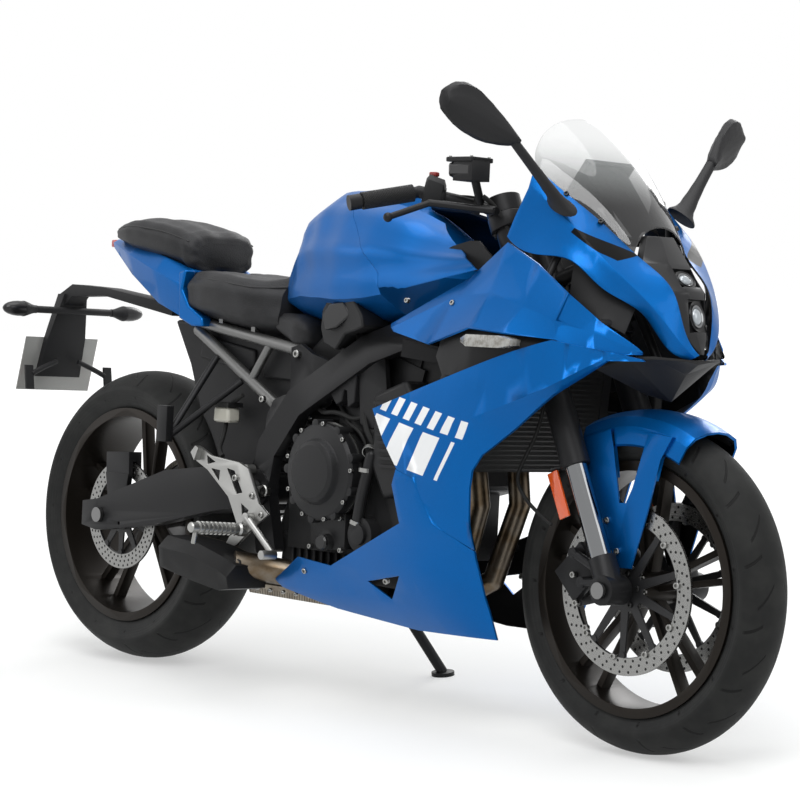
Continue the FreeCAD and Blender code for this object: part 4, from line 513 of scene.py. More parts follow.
def rounded(sections, cuts):
    """Closed skin that swells smoothly between loops of corners and passes through them."""
    made = bridged(sections, open_ends=True)
    bmesh.ops.subdivide_edges(made, edges=made.edges, cuts=cuts, smooth=1.0, use_grid_fill=True,
                              use_smooth_even=True)
    bmesh.ops.holes_fill(made, edges=[e for e in made.edges if e.is_boundary], sides=0)
    bmesh.ops.recalc_face_normals(made, faces=made.faces)
    return made


def half_loops(stations):
    """Whole loops from half sections (y, z) that run from the top's middle to the bottom's."""
    return [[Vector((x, -y, z)) for y, z in half] + [Vector((x, y, z)) for y, z in half[::-1] if y > 0]
            for x, half in stations]


def tube(points, radius, sides=3):
    """Round bar along a smooth line with these control points."""
    curve = bpy.data.curves.new("line", "CURVE")
    curve.dimensions = "3D"
    spline = curve.splines.new("NURBS")
    spline.points.add(len(points) - 1)
    for knot, point in zip(spline.points, points):
        knot.co = (*point, 1)
    spline.order_u, spline.use_endpoint_u, spline.resolution_u = min(3, len(points)), True, 6
    curve.bevel_depth, curve.bevel_resolution, curve.use_fill_caps = radius, sides, True
    made = bmesh.new()
    made.from_mesh(bpy.data.meshes.new_from_object(bpy.data.objects.new("line", curve)))
    bmesh.ops.remove_doubles(made, verts=made.verts, dist=0.001)
    bmesh.ops.recalc_face_normals(made, faces=made.faces)
    return made


def joined(*parts):
    """One bmesh out of several."""
    whole = bmesh.new()
    for part in parts:
        mesh = bpy.data.meshes.new("part")
        part.to_mesh(mesh)
        part.free()
        whole.from_mesh(mesh)
        bpy.data.meshes.remove(mesh)
    return whole


def both(*parts):
    """The parts and their mirror image on the other side of the bike."""
    made = joined(*parts)
    copy = bmesh.ops.duplicate(made, geom=made.verts[:] + made.edges[:] + made.faces[:])["geom"]
    bmesh.ops.scale(made, vec=(1, -1, 1), verts=of_kind(copy, bmesh.types.BMVert))
    bmesh.ops.reverse_faces(made, faces=of_kind(copy, bmesh.types.BMFace))
    return made


def trimmed(made, tool, operation="DIFFERENCE"):
    """What a boolean leaves of one shape after another."""
    things = []
    for part in (made, tool):
        mesh = bpy.data.meshes.new("trim")
        part.to_mesh(mesh)
        part.free()
        thing = bpy.data.objects.new("trim", mesh)
        bpy.context.scene.collection.objects.link(thing)
        things.append(thing)
    step = things[0].modifiers.new("trim", "BOOLEAN")
    step.object, step.operation, step.solver = things[1], operation, "EXACT"
    result = bmesh.new()
    result.from_mesh(bpy.data.meshes.new_from_object(
        things[0].evaluated_get(bpy.context.evaluated_depsgraph_get())))
    for thing in things:
        bpy.data.objects.remove(thing)
    return result


def eased(made, width, smooth=30):
    """Rounds the sharp edges of a shape."""
    bmesh.ops.dissolve_limit(made, angle_limit=math.radians(0.6), verts=made.verts, edges=made.edges,
                             use_dissolve_boundaries=False, delimit={"NORMAL"})
    sharp = [e for e in made.edges if len(e.link_faces) == 2 and e.calc_face_angle(0) > math.radians(smooth)]
    bmesh.ops.bevel(made, geom=sharp, offset=width, offset_type="OFFSET", segments=2, affect="EDGES",
                    profile=0.5, material=-1, clamp_overlap=True)
    return made


def softened(node, finish, width, smooth=30):
    """A copy of a CAD solid, its triangles joined up and its sharp edges rounded."""
    made = bmesh.new()
    made.from_mesh(nodes[node].data)
    made.transform(BIKE.inverted())
    bmesh.ops.remove_doubles(made, verts=made.verts, dist=0.02)
    finished("round_" + node, eased(made, width, smooth), finish, body_of[node], [node],
             smooth=max(smooth, 40))


def bolt(place, way, radius, height):
    """Cap screw with its socket."""
    return lathe(place, way, [(0, -3), (radius, -3), (radius, height * 0.75), (radius * 0.88, height),
                              (radius * 0.52, height), (radius * 0.5, height * 0.3), (0, height * 0.25)], 18)


def bolts(name, spots, finish="bolt silver", body="chassis", mirrored=False):
    """Screws at (place, way, radius), all one piece."""
    made = [bolt(place, way, radius, radius * 0.8) for place, way, radius in spots]
    finished(name, both(*made) if mirrored else joined(*made), finish, body)


def round_spots(centre, out, radius, count, size, start=0.0):
    """Places of screws on a circle round centre."""
    centre, out = Vector(centre), Vector(out).normalized()
    first = out.orthogonal().normalized()
    second = out.cross(first)
    turns = [start + TURN * i / count for i in range(count)]
    return [(centre + first * radius * math.cos(t) + second * radius * math.sin(t), out, size) for t in turns]


# Tyres


def dress_tyre(wheel, axle, radius, half, bead):
    """Round tread that runs into a swelling side wall and the bead on the rim."""
    drop = 40
    crown = (half ** 2 + drop ** 2) / (2 * drop)
    tread = [(radius - crown + math.sqrt(crown ** 2 - (half * share) ** 2), half * share)
             for share in (0, 0.15, 0.3, 0.45, 0.6, 0.72, 0.82, 0.9, 0.955, 0.99)]
    wall = [(radius - 44, half - 0.3), (radius - 50, half - 2.5), (radius - 57, half - 6), (236, bead + 3),
            (232.5, bead - 0.4), (218.6, bead - 0.6)]
    profile = [(r, -y) for r, y in (tread + wall)[::-1]] + (tread + wall)[1:]
    finished(f"dressed_{wheel}_tyre", lathe(axle, LEFT, profile, 160, closed=True), wheel + " rubber",
             wheel + "_wheel", [wheel + "_tyre"], smooth=50)


dress_tyre("front", FRONT_AXLE, FRONT_RADIUS, 57, 45)
dress_tyre("rear", REAR_AXLE, REAR_RADIUS, 87, 70)

# Bodywork and castings whose edges the CAD solids leave sharp: finish, width of the rounding and,
# where it isn't 30 degrees, the least angle of an edge that is rounded
for row in (
        ("side_fairings", "fairing paint", 1.2), ("belly_fairing", "blue paint", 1.2),
        ("nose_cowl", "nose paint", 1.2), ("tail_cowl", "blue paint", 1.5, 24),
        ("front_fender", "blue paint", 1.2), ("nose_mask", "smooth plastic", 2),
        ("chin_panel", "moulded plastic", 2), ("plate_hanger", "moulded plastic", 2.5),
        ("inner_panels", "moulded plastic", 1), ("bar_controls", "moulded plastic", 2.2),
        ("levers", "black coating", 1.5, 40),
        ("front_rim", "wheel coating", 1.6), ("rear_rim", "wheel coating", 1.6),
        ("triple_clamps", "black coating", 2.5), ("fork_bottoms", "black coating", 2),
        ("front_calipers", "black coating", 4), ("rear_caliper", "black coating", 4),
        ("main_frame", "black coating", 3), ("swingarm", "black coating", 5, 24),
        ("engine_block", "engine coating", 5), ("clutch_cover", "engine coating", 2.5),
        ("left_engine_covers", "engine coating", 4), ("foot_levers", "cast silver", 1.5),
        ("pillion_pegs", "black coating", 1.5), ("exhaust_chamber", "silencer black", 6, 24),
        ("side_stand", "black coating", 2), ("licence_plate", "blank plate", 0.5),
        ("tail_lamp", "red lens", 3), ("front_indicators", "indicator lens", 3, 24),
        ("fork_reflectors", "orange lens", 1.2)):
    softened(*row)

# Tank and its side covers, cut out of one smooth form along the seams


def tank_form(shrink):
    """Smooth form of the tank with its covers, made smaller by shrink all round."""
    loops = []
    for x, top, ridge, shoulder, belly, low, bottom in (
            (519, 868, 38, 70, 84, 60, 782), (560, 955, 60, 98, 106, 84, 778),
            (620, 1004, 76, 120, 128, 104, 776), (700, 1018, 86, 143, 155, 120, 774),
            (800, 1012, 94, 166, 178, 136, 776), (900, 992, 99, 173, 185, 150, 790),
            (1000, 957, 100, 163, 182, 172, 812), (1100, 928, 112, 161, 182, 181, 838),
            (1182, 908, 128, 158, 177, 179, 862)):
        span = top - bottom
        loops.append((x, [(0, top - shrink), (max(ridge - shrink, 10), top - 0.075 * span - shrink),
                          (shoulder - shrink, top - 0.38 * span), (belly - shrink, top - 0.62 * span),
                          (low - shrink, bottom - shrink * 3), (0, bottom - shrink * 3)]))
    return rounded(half_loops(loops), 4)


def steering_room(radius):
    """Cylinder round the steering axis, clear of what turns with the bars."""
    return lathe(STEER_FOOT + UP_FORK * 150, UP_FORK, [(0, 0), (radius, 0), (radius, 750), (0, 750)], 96)


SEAM, SEAM_GAP, COVER_WALL = [(700, 1100), (742, 990), (896, 852), (930, 700)], 1.2, 4
tank = trimmed(tank_form(0), slab([(300, 1100)] + SEAM + [(300, 700)], -400, 400), "INTERSECT")
finished("tank_shell", tank, "blue paint", "chassis", ["fuel_tank"], smooth=34, bevel=1.5)
ahead_of_seam = [(x + SEAM_GAP, z) for x, z in SEAM]
ahead_of_seam += [(1100, 700), (1178, 858), (1152, 870), (1052, 919), (1122, 950), (1080, 1100)]
covers = trimmed(tank_form(0), slab(ahead_of_seam, -400, 400), "INTERSECT")
covers = trimmed(covers, tank_form(COVER_WALL))
covers = trimmed(covers, slab([(600, 600), (1300, 600), (1300, 1200), (600, 1200)], -95, 95))
notch = slab([(1046, 900), (1066, 908), (1110, 918), (1134, 918), (1170, 890), (1172, 868), (1120, 862)],
             -154, -96)
finished("notch_panels", both(trimmed(notch, steering_room(150))), "moulded plastic")
finished("cover_shells", trimmed(covers, steering_room(163)), "blue paint", "chassis", ["tank_covers"],
         smooth=34, bevel=0.8)

# Seats: padded vinyl with piping round the top panel


def seat(name, node, loops, piping):
    made = rounded(half_loops(loops), 4)
    bmesh.ops.smooth_vert(made, verts=made.verts, factor=0.4, use_axis_x=True, use_axis_y=True,
                          use_axis_z=True)
    piece = finished(name, made, "seat vinyl", "chassis", [node], smooth=50)
    finished(name + "_piping", both(tube(piping, 1.6, 2)), "seam thread", smooth=35)


seat("rider_pad", "rider_seat", (
    (222, [(0, 820), (56, 824), (86, 814), (92, 800), (80, 784), (0, 780)]),
    (233, [(0, 837), (70, 845), (108, 829), (115, 800), (99, 770), (0, 766)]),
    (270, [(0, 842), (80, 848), (118, 832), (126, 802), (104, 760), (0, 757)]),
    (330, [(0, 842), (88, 846), (131, 830), (137, 800), (108, 754), (0, 750)]),
    (400, [(0, 836), (86, 838), (130, 822), (135, 792), (110, 744), (0, 741)]),
    (460, [(0, 836), (74, 836), (118, 814), (124, 786), (106, 738), (0, 736)]),
    (518, [(0, 850), (50, 848), (84, 820), (99, 782), (92, 734), (0, 732)])),
    [(233, -106, 830), (270, -119, 833), (330, -131.5, 831), (400, -130.5, 823), (460, -119, 816),
     (517, -86, 821)])
seat("pillion_pad", "pillion_seat", (
    (-92, [(0, 948), (38, 946), (58, 937), (61, 926), (54, 916), (0, 914)]),
    (-50, [(0, 956), (48, 953), (76, 940), (79, 924), (68, 908), (0, 906)]),
    (0, [(0, 962), (58, 958), (90, 942), (91, 925), (82, 899), (0, 897)]),
    (60, [(0, 959), (62, 955), (94, 937), (96, 917), (88, 890), (0, 886)]),
    (120, [(0, 951), (64, 947), (96, 930), (99, 909), (86, 878), (0, 874)]),
    (170, [(0, 938), (64, 935), (93, 918), (94, 896), (80, 866), (0, 860)]),
    (194, [(0, 928), (60, 926), (86, 911), (87, 886), (75, 856), (0, 852)]),
    (204, [(0, 910), (46, 908), (68, 897), (69, 882), (60, 866), (0, 862)])),
    [(-90, -59, 937), (-50, -77, 941), (0, -91, 943), (60, -95, 938), (120, -97, 931), (170, -94, 919),
     (194, -88, 911)])

# Mirrors: shells with flat glass towards the rider, on tapering stalks


def mirror_shell():
    outline = ((-9, -0.82), (0, -1), (8, -0.72), (13, -0.3), (14, 0.1), (11, 0.55), (3, 1), (-9, 0.86))
    stations = ((266, 1328, 1091, 7), (282, 1322, 1101, 19), (303, 1313, 1113, 30), (325, 1305, 1125, 39),
                (350, 1297, 1138, 43), (373, 1290, 1146, 39), (392, 1284, 1151, 27), (403, 1281, 1152, 13))
    return rounded([[Vector((x + dx, -y, z + dz * h)) for dx, dz in outline] for y, x, z, h in stations], 2)


def mirror_stalk():
    foot, joint, fore = Vector((1351, -160, 980)), Vector((1324, -272, 1094)), Vector((0.92, 0, -0.4))
    way = (joint - foot).normalized()
    across = way.cross(fore).normalized()
    turns = [TURN * i / 20 for i in range(20)]
    return rounded([[foot + way * at + fore * long * math.cos(t) + across * wide * math.sin(t) for t in turns]
                    for at, long, wide in ((2, 37, 16), (6, 36, 15), (18, 25, 12), (44, 19, 10), (80, 15, 9),
                                           (120, 12.5, 8.5), (162, 12, 8))], 1)


def mirror_glass():
    stations = ((285, 1322, 1103, 17), (303, 1313, 1113, 27), (325, 1305, 1126, 36.5), (350, 1297, 1138, 38),
                (373, 1290, 1146, 34), (392, 1284, 1151, 20))
    corners = ((-9.9, -0.82), (-9.1, -0.82), (-9.1, 0.84), (-9.9, 0.84))
    return bridged([[Vector((x + dx, -y, z + h * share)) for dx, share in corners]
                    for y, x, z, h in stations])


finished("mirror_shells", both(mirror_shell(), mirror_stalk()), "moulded plastic", "chassis", ["mirrors"],
         smooth=48)
finished("mirror_glass", both(mirror_glass()), "mirror glass", smooth=40)

# Lamps in the mask: bezel, silver ring and a projector's lens


def lamp_parts(x, z, slope, wide, high):
    """Bezel, ring and lens of the lamp whose face has its middle at x and z."""
    turn = Matrix.Translation((x, 0, z)) @ Matrix.Rotation(math.radians(-slope), 4, "Y")
    made = []
    for profile, closed in (
            ([(0, -8.5), (wide - 1, -8.5), (wide - 1, -4), (wide * 0.76, -6.5), (0, -6.5)], False),
            ([(wide * 0.5, -6.6), (wide * 0.74, -6.6), (wide * 0.7, -3.4), (wide * 0.56, -4.4)], True),
            ([(0, -6.4), (wide * 0.52, -6.4), (wide * 0.5, -4), (wide * 0.36, -1.6), (wide * 0.18, -0.5),
              (0, -0.2)], False)):
        part = lathe((0, 0, 0), (1, 0, 0), profile, 40, closed)
        bmesh.ops.scale(part, vec=(1, 1, high / wide), verts=part.verts)
        part.transform(turn)
        made.append(part)
    return made


bezels, rings, lenses = zip(lamp_parts(1514, 864, 40, 25.5, 20.5), lamp_parts(1547, 797, 14, 21.5, 29.5))
finished("lamp_bezels", joined(*bezels), "smooth plastic", "chassis", ["headlamps"], smooth=35)
finished("lamp_rings", joined(*rings), "chrome", smooth=35)
finished("lamp_lenses", joined(*lenses), "lamp glass", smooth=50)

# Rear indicators on short stems, and the reflectors on their arms
stem = [(0, 0), (9, 0), (9, 6), (11, 14), (15.5, 27), (17.5, 34), (17.5, 38), (0, 38)]
cone = [(0, 0), (17, 0), (17.2, 14), (16, 26), (13, 38), (9, 46), (4, 51), (0, 52)]
finished("indicator_bodies", both(lathe((-322, -105, 752), RIGHT, stem, 32)), "moulded plastic", "chassis",
         ["rear_indicators"], smooth=40)
finished("indicator_lenses", both(lathe((-322, -143.2, 752), RIGHT, cone, 32)), "smooth plastic", smooth=40)
finished("rear_reflectors", both(slab([(-341, 620), (-337, 620), (-329, 578), (-333, 578)], -117, -103)),
         "red lens", smooth=40)
finished("reflector_arms", both(slab([(-337, 626), (-331, 626), (-322, 572), (-328, 572)], -121, -99),
                                tube([(-331, -102, 606), (-336, -70, 622), (-338, -30, 636)], 6)),
         "moulded plastic", bevel=1.5)

# Right bar: switches, the brake's fluid reservoir and its line
neck_start, neck_end = Vector((1139, -129, 980)), Vector((1043, -226, 1004))
neck_way = (neck_end - neck_start).normalized()
switch_box = neck_start + neck_way * 112
square = ((-9, -6), (9, -6), (9, 6), (-9, 6))
rings = [[switch_box + Vector((dx, dy, dz)) for dx, dy in square] for dz in (34, 43)]
finished("stop_switch", bridged(rings), "red switch", "steering", bevel=2.5)
finished("start_button", lathe(switch_box + Vector((-16, 8, 12)), (-0.75, 0.6, 0.2),
                               [(0, 0), (7, 0), (7, 5), (5.5, 6.5), (0, 6.5)], 24),
         "smooth plastic", "steering", smooth=35)
drum = [(0, 0), (18, 0), (21.5, 4), (22, 18), (21.5, 36), (18, 41), (0, 41)]
finished("switch_drum", lathe(neck_start + neck_way * 90, neck_way, drum, 40), "moulded plastic", "steering",
         smooth=40)
finished("reservoir_body", slab([(1102, 1032), (1100, 1061), (1164, 1061), (1162, 1032)], -213, -160),
         "smooth plastic", "steering", bevel=7)
finished("reservoir_cap", block((1098, 1166), (-215, -158), (1061, 1070)), "moulded plastic", "steering",
         bevel=2)
bolts("reservoir_screws", [((x, y, 1070), (0, 0, 1), 3) for y in (-209, -164) for x in (1104, 1160)],
      body="steering")
finished("brake_line", tube([(1150, -164, 1000), (1160, -140, 985), (1190, -122, 930), (1205, -116, 850),
                             (1240, -122, 760)], 4.5), "soft rubber", "steering", smooth=35)

# Screws of the panels, castings and discs
bolts("fairing_screws", [((1120, -199, 800), (-0.1, -1, 0.4), 5.5), ((962, -184, 268), (0.1, -1, -0.3), 6),
                         ((700, -160, 262), (0, -1, -0.4), 6)], mirrored=True)
bolts("clutch_screws", round_spots((732, -166.3, 460), RIGHT, 95, 9, 4.6, math.pi / 9))
bolts("generator_screws", round_spots((800, 174.3, 420), LEFT, 68, 8, 5.5))
for name, finish, offset, radius, count, size in (("disc_bobbins", "bolt silver", 66.5, 124, 10, 6.5),
                                                  ("disc_screws", "bolt black", 66.6, 30, 5, 5)):
    bolts(name, [spot for way in (RIGHT, LEFT)
                 for spot in round_spots(FRONT_AXLE + Vector(way) * offset, way, radius, count, size)],
          finish, "front_wheel")
bolts("rear_disc_screws", round_spots((0, -82.6, REAR_RADIUS), RIGHT, 30, 5, 5), "bolt black", "rear_wheel")

# Covers and boxes under the seat and tank
FENDER_RADIUS = 338
fender = [(FENDER_RADIUS * math.cos(t), REAR_RADIUS + FENDER_RADIUS * math.sin(t))
          for t in (math.radians(a) for a in range(15, 46, 5))]
fender += [(199, 650), (140, 744), (330, 748), (520, 718), (618, 700), (575, 610), (500, 555), (440, 470),
           (400, 402)]
finished("inner_fender", slab(fender, -74, 74), "moulded plastic", bevel=8)
finished("battery_lid", both(slab([(240, 668), (400, 640), (420, 655), (420, 690), (250, 715)], -82, -70),
                             slab([(448, 634), (556, 630), (590, 690), (460, 700)], -84, -70)),
         "moulded plastic", bevel=5)
finished("air_box", joined(
    slab([(600, 640), (606, 700), (690, 768), (900, 772), (1010, 790), (1010, 640), (860, 606), (700, 616)],
         -92, 92),
    slab([(676, 672), (720, 690), (742, 650), (716, 618), (680, 622)], -106, 106)),
    "moulded plastic", bevel=7)
knee = [(694, 778), (721, 804), (789, 824), (841, 771), (848, 748), (820, 740), (780, 732), (744, 700),
        (700, 712), (688, 742)]
finished("knee_covers", both(bridged([
    [Vector((x, -92, z)) for x, z in knee],
    [Vector((x, -(139 + (x - 690) * 0.2 + (z - 700) * 0.06), z)) for x, z in knee]])),
    "moulded plastic", bevel=4)
finished("knee_inlays", both(slab([(716, 768), (738, 790), (778, 796), (800, 770), (760, 744), (728, 738)],
                                  -150, -165)), "smooth plastic", bevel=3)
finished("engine_hanger", both(
    slab([(751, 706), (802, 700), (797, 600), (778, 588), (773, 622), (764, 624), (760, 600), (745, 592),
          (727, 612)], -112, -140),
    lathe((670, -100, 602), RIGHT, [(0, 0), (19, 0), (19, 14), (16, 18), (16, 24), (12, 27), (0, 27)], 32)),
    "moulded plastic", bevel=3)
finished("sump", joined(
    slab([(560, 300), (556, 262), (590, 226), (700, 206), (790, 214), (790, 320), (560, 330)], -104, 104),
    slab([(536, 330), (560, 396), (600, 400), (600, 300), (556, 296)], -96, 96)), "engine coating", bevel=8)
ribs = [block((600 + 22 * i, 606 + 22 * i), (-112, -98), (300, 232)) for i in range(8)]
finished("sump_ribs", both(*ribs), "engine coating", bevel=2)

# Rear brake's fluid bottle with its hose
finished("fluid_bottle", slab([(350, 537), (352, 569), (399, 569), (401, 537)], -128, -94), "milky tank",
         bevel=6)
hoses = [tube([(392, -112, 578), (418, -116, 590), (432, -118, 596)], 5),
         tube([(376, -112, 538), (378, -118, 510), (400, -150, 480), (428, -160, 470)], 5)]
finished("bottle_cap", joined(block((349, 402), (-131, -91), (569, 579)), *hoses), "soft rubber", bevel=2)

# Rider's foot brackets with their windows and ribbed pegs
plate = slab([(372, 486), (410, 470), (500, 462), (528, 452), (566, 384), (596, 364), (560, 340), (500, 292),
              (470, 296), (500, 340), (470, 390), (400, 440), (362, 456)], -168, -176)
for window in ([(396, 470), (424, 458), (400, 452)], [(412, 444), (440, 442), (438, 420)],
               [(462, 448), (486, 444), (514, 402), (496, 398)], [(512, 380), (536, 368), (520, 340)]):
    plate = trimmed(plate, slab(window, -160, -184))
peg_start = Vector((524, -176, 328))
peg_way = (Vector((520, -312, 334)) - peg_start).normalized()
finished("foot_brackets", both(
    eased(plate, 1.4), lathe((512, -148.4, 448), RIGHT, [(0, 0), (11, 0), (11, 20), (0, 20)], 24),
    lathe(peg_start, peg_way, [(0, -2), (14, -2), (14, 12), (10.5, 16), (10.5, 133), (8, 136), (0, 136)], 24),
    slab([(360, 474), (374, 488), (384, 484), (372, 458)], -176, -190)),
    "cast silver", "chassis", ["rearsets"])
rib = [(9, -3.4), (13.2, -2.2), (13.2, 2.2), (9, 3.4)]
rings = [lathe(peg_start + peg_way * (26 + 11 * i), peg_way, rib, 20) for i in range(9)]
finished("peg_ribs", both(*rings), "cast silver")
feeler = lathe((519.5, -296, 325), (0, -0.2, -1), [(0, 0), (5, 0), (5, 22), (3.5, 25), (0, 25)], 18)
finished("peg_feelers", both(feeler), "bolt silver", smooth=35)
bolts("foot_bracket_screws", [((x, -175.5, z), RIGHT, 7) for x, z in ((546, 398), (577, 362), (492, 430))],
      mirrored=True)

# Engine's details
dome = lathe((732, -170, 460), RIGHT, [(0, 0), (58, 0), (58, 3), (54, 7), (36, 12), (0, 13)], 64)
finished("clutch_dome", dome, "engine coating", smooth=35)
band = tube([(676, -180, 440), (700, -184.5, 452), (740, -185.5, 462), (786, -180, 470)], 2.4)
finished("clutch_band", band, "engine coating", smooth=35)
gasket = lathe((732, -139, 460), RIGHT, [(92, 0), (98.5, 0), (98.5, 2.4), (92, 2.4)], 72, closed=True)
finished("cover_gasket", gasket, "bolt silver", smooth=35)
finished("oil_filler", lathe((748, -160, 322), RIGHT, [(0, 0), (16, 0), (16, 5), (13, 8), (0, 8)], 12),
         "smooth plastic", smooth=20)
bolts("block_screws", [(place, RIGHT, 5) for place in (
    (697, -150.5, 372), (700, -150.5, 310), (786, -150.5, 372), (790, -150.5, 310), (838, -112, 560),
    (846, -112, 470), (852, -108, 400), (640, -112, 560), (880, -100, 350))])
finished("wiring", joined(
    tube([(640, -100, 590), (690, -130, 572), (740, -132, 580), (800, -128, 560), (836, -118, 590)], 5),
    tube([(700, -104, 620), (760, -126, 560), (812, -132, 545), (830, -122, 500), (826, -116, 430)], 4),
    tube([(800, -118, 610), (826, -138, 560), (858, -138, 520), (880, -116, 470), (886, -108, 400),
          (870, -110, 340)], 6),
    tube([(610, -96, 560), (600, -124, 500), (612, -128, 440), (600, -118, 380)], 5)),
    "soft rubber", smooth=35)
finished("hose_clips", joined(*[
    lathe(place, way, [(13.4, -4), (14.6, -4), (14.6, 4), (13.4, 4)], 32, closed=True) for place, way in (
        ((857, -147, 508), (0.6, -0.9, -0.75)), ((830, -147, 368), (0.3, 0.05, 1)),
        ((852, -150.5, 472), (0.1, 0, 1)))]),
    "bolt silver", smooth=35)
bolts("frame_screws", [(place, RIGHT, size) for place, size in (
    ((549, -143, 408), 13), ((800, -136, 690), 8), ((622, -140, 688), 8), ((514, -133, 592), 7))],
    mirrored=True)

# Pipe into the silencer
pipe = tube([(668, -60, 236), (610, -84, 240), (560, -122, 248), (530, -168, 256), (516, -190, 258)], 27, 6)
finished("link_pipe", pipe, "heated steel", smooth=35)

# Brake lines and the fender's screws
finished("front_line", both(tube([(1287, -112, 640), (1283, -120, 576), (1248, -122, 519), (1232, -124, 481),
                                  (1262, -126, 446), (1299, -124, 421), (1323, -118, 405)], 3.6)),
         "soft rubber", "steering", smooth=35)
bolts("fender_screws", [((1423, -77.6, 422), RIGHT, 6), ((1451, -77.6, 368), RIGHT, 6)], body="steering",
      mirrored=True)

# Bolt of the silencer's bracket and the collector's rivets
finished("silencer_bolt", bolt((536, -196, 262), (0.6, -1, 0.2), 8, 6), "bolt black", smooth=35)
bolts("collector_rivets", [((480 + 40 * i, -128, 208), (0, -1, -0.2), 4) for i in range(6)])

# Front wheel: caliper pins and the speed sensor's ring
bolts("caliper_pins", [(FRONT_AXLE + UP_FORK * up - AHEAD_FORK * behind + Vector(RIGHT) * 92, RIGHT, 6)
                       for up, behind in ((60, 88), (10, 100), (-40, 92))], body="steering", mirrored=True)
teeth = [block((37, 43), (-60, -56), (-2.2, 2.2)) for _ in range(30)]
for i, tooth in enumerate(teeth):
    tooth.transform(Matrix.Translation(FRONT_AXLE) @ Matrix.Rotation(TURN * i / len(teeth), 4, "Y"))
carrier = lathe(FRONT_AXLE + Vector(RIGHT) * 56, RIGHT, [(30, 0), (38, 0), (38, 4), (30, 4)], 60, closed=True)
finished("sensor_ring", joined(carrier, *teeth), "bolt silver", "front_wheel")

# Dash's display, and the screws of screen and tank
display = block((-7.2, -6), (-50, 50), (-34, 34))
display.transform(Matrix.Translation((1284, 0, 1034)) @ Matrix.Rotation(math.radians(38), 4, "Y"))
finished("dash_display", display, "smooth plastic", bevel=0.5)
bolts("screen_screws", [((1392, -103, 958), (0.5, -0.7, 0.6), 5), ((1330, -131, 1006), (0.4, -0.8, 0.5), 5)],
      "bolt black", mirrored=True)
bolts("tank_screws", [((984, -187.5, 802), (0, -1, 0.1), 5)], mirrored=True)

# Cables from the bars, the steering head's nut and the engine's front
finished("bar_cables", both(
    tube([(1062, -206, 992), (1096, -178, 1000), (1128, -140, 996), (1160, -100, 976), (1168, -76, 930)], 4),
    tube([(1066, -202, 984), (1100, -168, 984), (1140, -120, 968), (1172, -84, 930), (1180, -70, 880)], 3.2)),
    "soft rubber", "steering", smooth=35)
head_top = STEER_FOOT + UP_FORK * 690
finished("head_nut", joined(lathe(head_top, UP_FORK, [(0, 0), (22, 0), (22, 12), (18, 16), (0, 16)], 6),
                            lathe(head_top + Vector((40, 0, 10)), UP_FORK,
                                  [(0, 0), (17, 0), (17, 14), (13, 18), (0, 18)], 32)), "steel", "steering")
front = slab([(862, 620), (950, 652), (1000, 570), (985, 440), (900, 418), (862, 480)], -150, 150)
finished("engine_front", front, "engine coating", bevel=10)
fins = [block((868 + 3 * i, 968 + 2 * i), (-156, 156), (606 - 15 * i, 600 - 15 * i)) for i in range(9)]
finished("head_fins", joined(*fins), "engine coating")

# Tail's flanks round the rider's seat, and the seat's nose below the tank
finished("tail_flanks", both(slab([(211, 845), (218, 748), (262, 732), (300, 733), (295, 751), (248, 774),
                                   (224, 808), (234, 850)], -126, -96)), "blue paint", bevel=4)
finished("seat_nose", rounded(half_loops((
    (510, [(0, 768), (70, 768), (98, 762), (103, 746), (96, 732), (0, 728)]),
    (556, [(0, 767), (70, 767), (104, 759), (111, 737), (102, 714), (0, 710)]),
    (596, [(0, 760), (70, 760), (104, 752), (112, 724), (104, 702), (0, 698)]),
    (612, [(0, 748), (60, 748), (90, 740), (98, 722), (88, 708), (0, 704)]))), 2), "seat vinyl", smooth=50)

# Light, floor and camera


def seen_directly(tree):
    """1 for a ray that shows the backdrop: from the camera, a mirror or through glass."""
    path = tree.nodes.new("ShaderNodeLightPath")
    seen = path.outputs["Is Camera Ray"]
    for ray in ("Is Glossy Ray", "Is Transmission Ray"):
        most = tree.nodes.new("ShaderNodeMath")
        most.operation = "MAXIMUM"
        tree.links.new(seen, most.inputs[0])
        tree.links.new(path.outputs[ray], most.inputs[1])
        seen = most.outputs[0]
    return seen


def blended(tree, share, first, second, out):
    """Feeds the output with a mix of two shaders."""
    mix = tree.nodes.new("ShaderNodeMixShader")
    for socket, source in zip(mix.inputs, (share, first.outputs[0], second.outputs[0])):
        tree.links.new(source, socket)
    tree.links.new(mix.outputs[0], out.inputs[0])


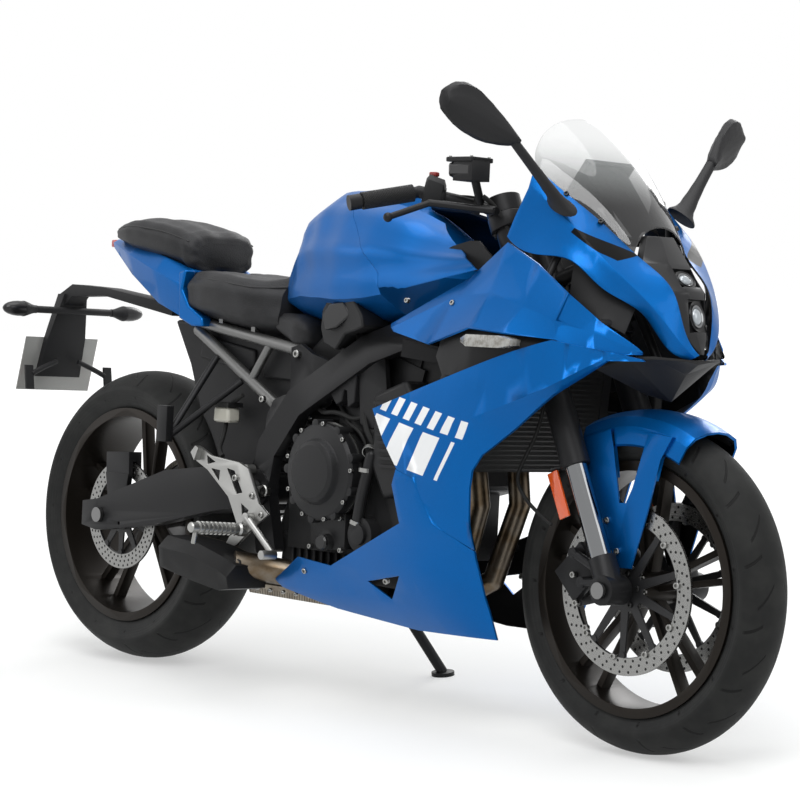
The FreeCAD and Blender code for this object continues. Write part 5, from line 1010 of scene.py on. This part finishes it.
def studio():
    """Soft grey light on the bike, with white behind it."""
    world = bpy.data.worlds.new("studio")
    bpy.context.scene.world = world
    world.use_nodes = True
    tree = world.node_tree
    tree.nodes.clear()
    out = tree.nodes.new("ShaderNodeOutputWorld")
    soft, white = tree.nodes.new("ShaderNodeBackground"), tree.nodes.new("ShaderNodeBackground")
    soft.inputs[0].default_value, soft.inputs[1].default_value = (0.95, 1, 0.97, 1), 0.36
    white.inputs[0].default_value, white.inputs[1].default_value = (1, 1, 1, 1), 1
    blended(tree, seen_directly(tree), soft, white, out)
    for name, place, size, power, aim in (
            ("key", (2.2, -2.6, 4.8), 3.2, 135, (0, 0, 0.5)),
            ("fill", (-3.6, -2.8, 2.6), 3.0, 26, (-0.2, 0, 0.5)),
            ("front", (4.8, 0.6, 2.8), 2.6, 34, (0.4, 0, 0.6)),
            ("top", (0, 0.4, 4.6), 4.0, 110, (0, 0, 0.4)),
            ("rim", (-1.8, 4.0, 2.6), 2.6, 70, (0, 0, 0.6))):
        lamp = bpy.data.lights.new(name, "AREA")
        lamp.shape, lamp.size, lamp.energy = "DISK", size, power
        thing = bpy.data.objects.new(name, lamp)
        thing.location = place
        thing.rotation_euler = (Vector(aim) - Vector(place)).to_track_quat("-Z", "Y").to_euler()
        bpy.context.scene.collection.objects.link(thing)


def floor():
    """Pale floor that keeps the shadow and fades into the white behind it far from the bike."""
    disc = bmesh.new()
    bmesh.ops.create_circle(disc, cap_ends=True, radius=9, segments=96)
    mesh = bpy.data.meshes.new("floor")
    disc.to_mesh(mesh)
    disc.free()
    piece = bpy.data.objects.new("floor", mesh)
    bpy.context.scene.collection.objects.link(piece)
    cover = Finish("studio floor", (0.9, 0.9, 0.9), 0.85)
    mesh.materials.append(cover.material)
    x, y, _ = cover.parts(cover.place())
    glow_share = (x * x + y * y).math("SQRT").above(1.3, 3.2) * 0.62 + 0.38
    glow = cover.tree.nodes.new("ShaderNodeEmission")
    glow.inputs[1].default_value = 1.2
    seen = Socket(cover, seen_directly(cover.tree))
    blended(cover.tree, (glow_share * seen).socket, cover.shader, glow, cover.out)


def camera():
    """The photograph's camera, fitted to both wheels of a bike that leaned less than this one."""
    azimuth, elevation, photo_lean = math.radians(46.95), math.radians(4.10), math.radians(3.96)
    distance, focal_pixels, width_pixels, sensor = 5528, 2759, 800, 36
    back = Vector((math.sin(azimuth) * math.cos(elevation), -math.cos(azimuth) * math.cos(elevation),
                   math.sin(elevation)))
    right = Vector((math.cos(azimuth), math.sin(azimuth), 0))
    up = back.cross(right)
    aim = Vector((700, 0, 550)) + right * 84 + up * 53
    place = (BIKE @ Matrix.Rotation(photo_lean, 4, "X") @ Matrix.Translation(aim + back * distance)
             @ Matrix((right, up, back)).transposed().to_4x4())
    eye = bpy.data.objects.new("camera", bpy.data.cameras.new("camera"))
    eye.data.sensor_width = sensor
    eye.data.lens = focal_pixels / width_pixels * sensor
    eye.data.clip_start, eye.data.clip_end = 0.1, 60
    eye.matrix_world = Matrix.Translation(place.translation) @ place.to_quaternion().to_matrix().to_4x4()
    bpy.context.scene.collection.objects.link(eye)
    bpy.context.scene.camera = eye


studio()
floor()
camera()
bpy.context.scene.view_settings.view_transform = "Standard"

bpy.context.view_layer.update()
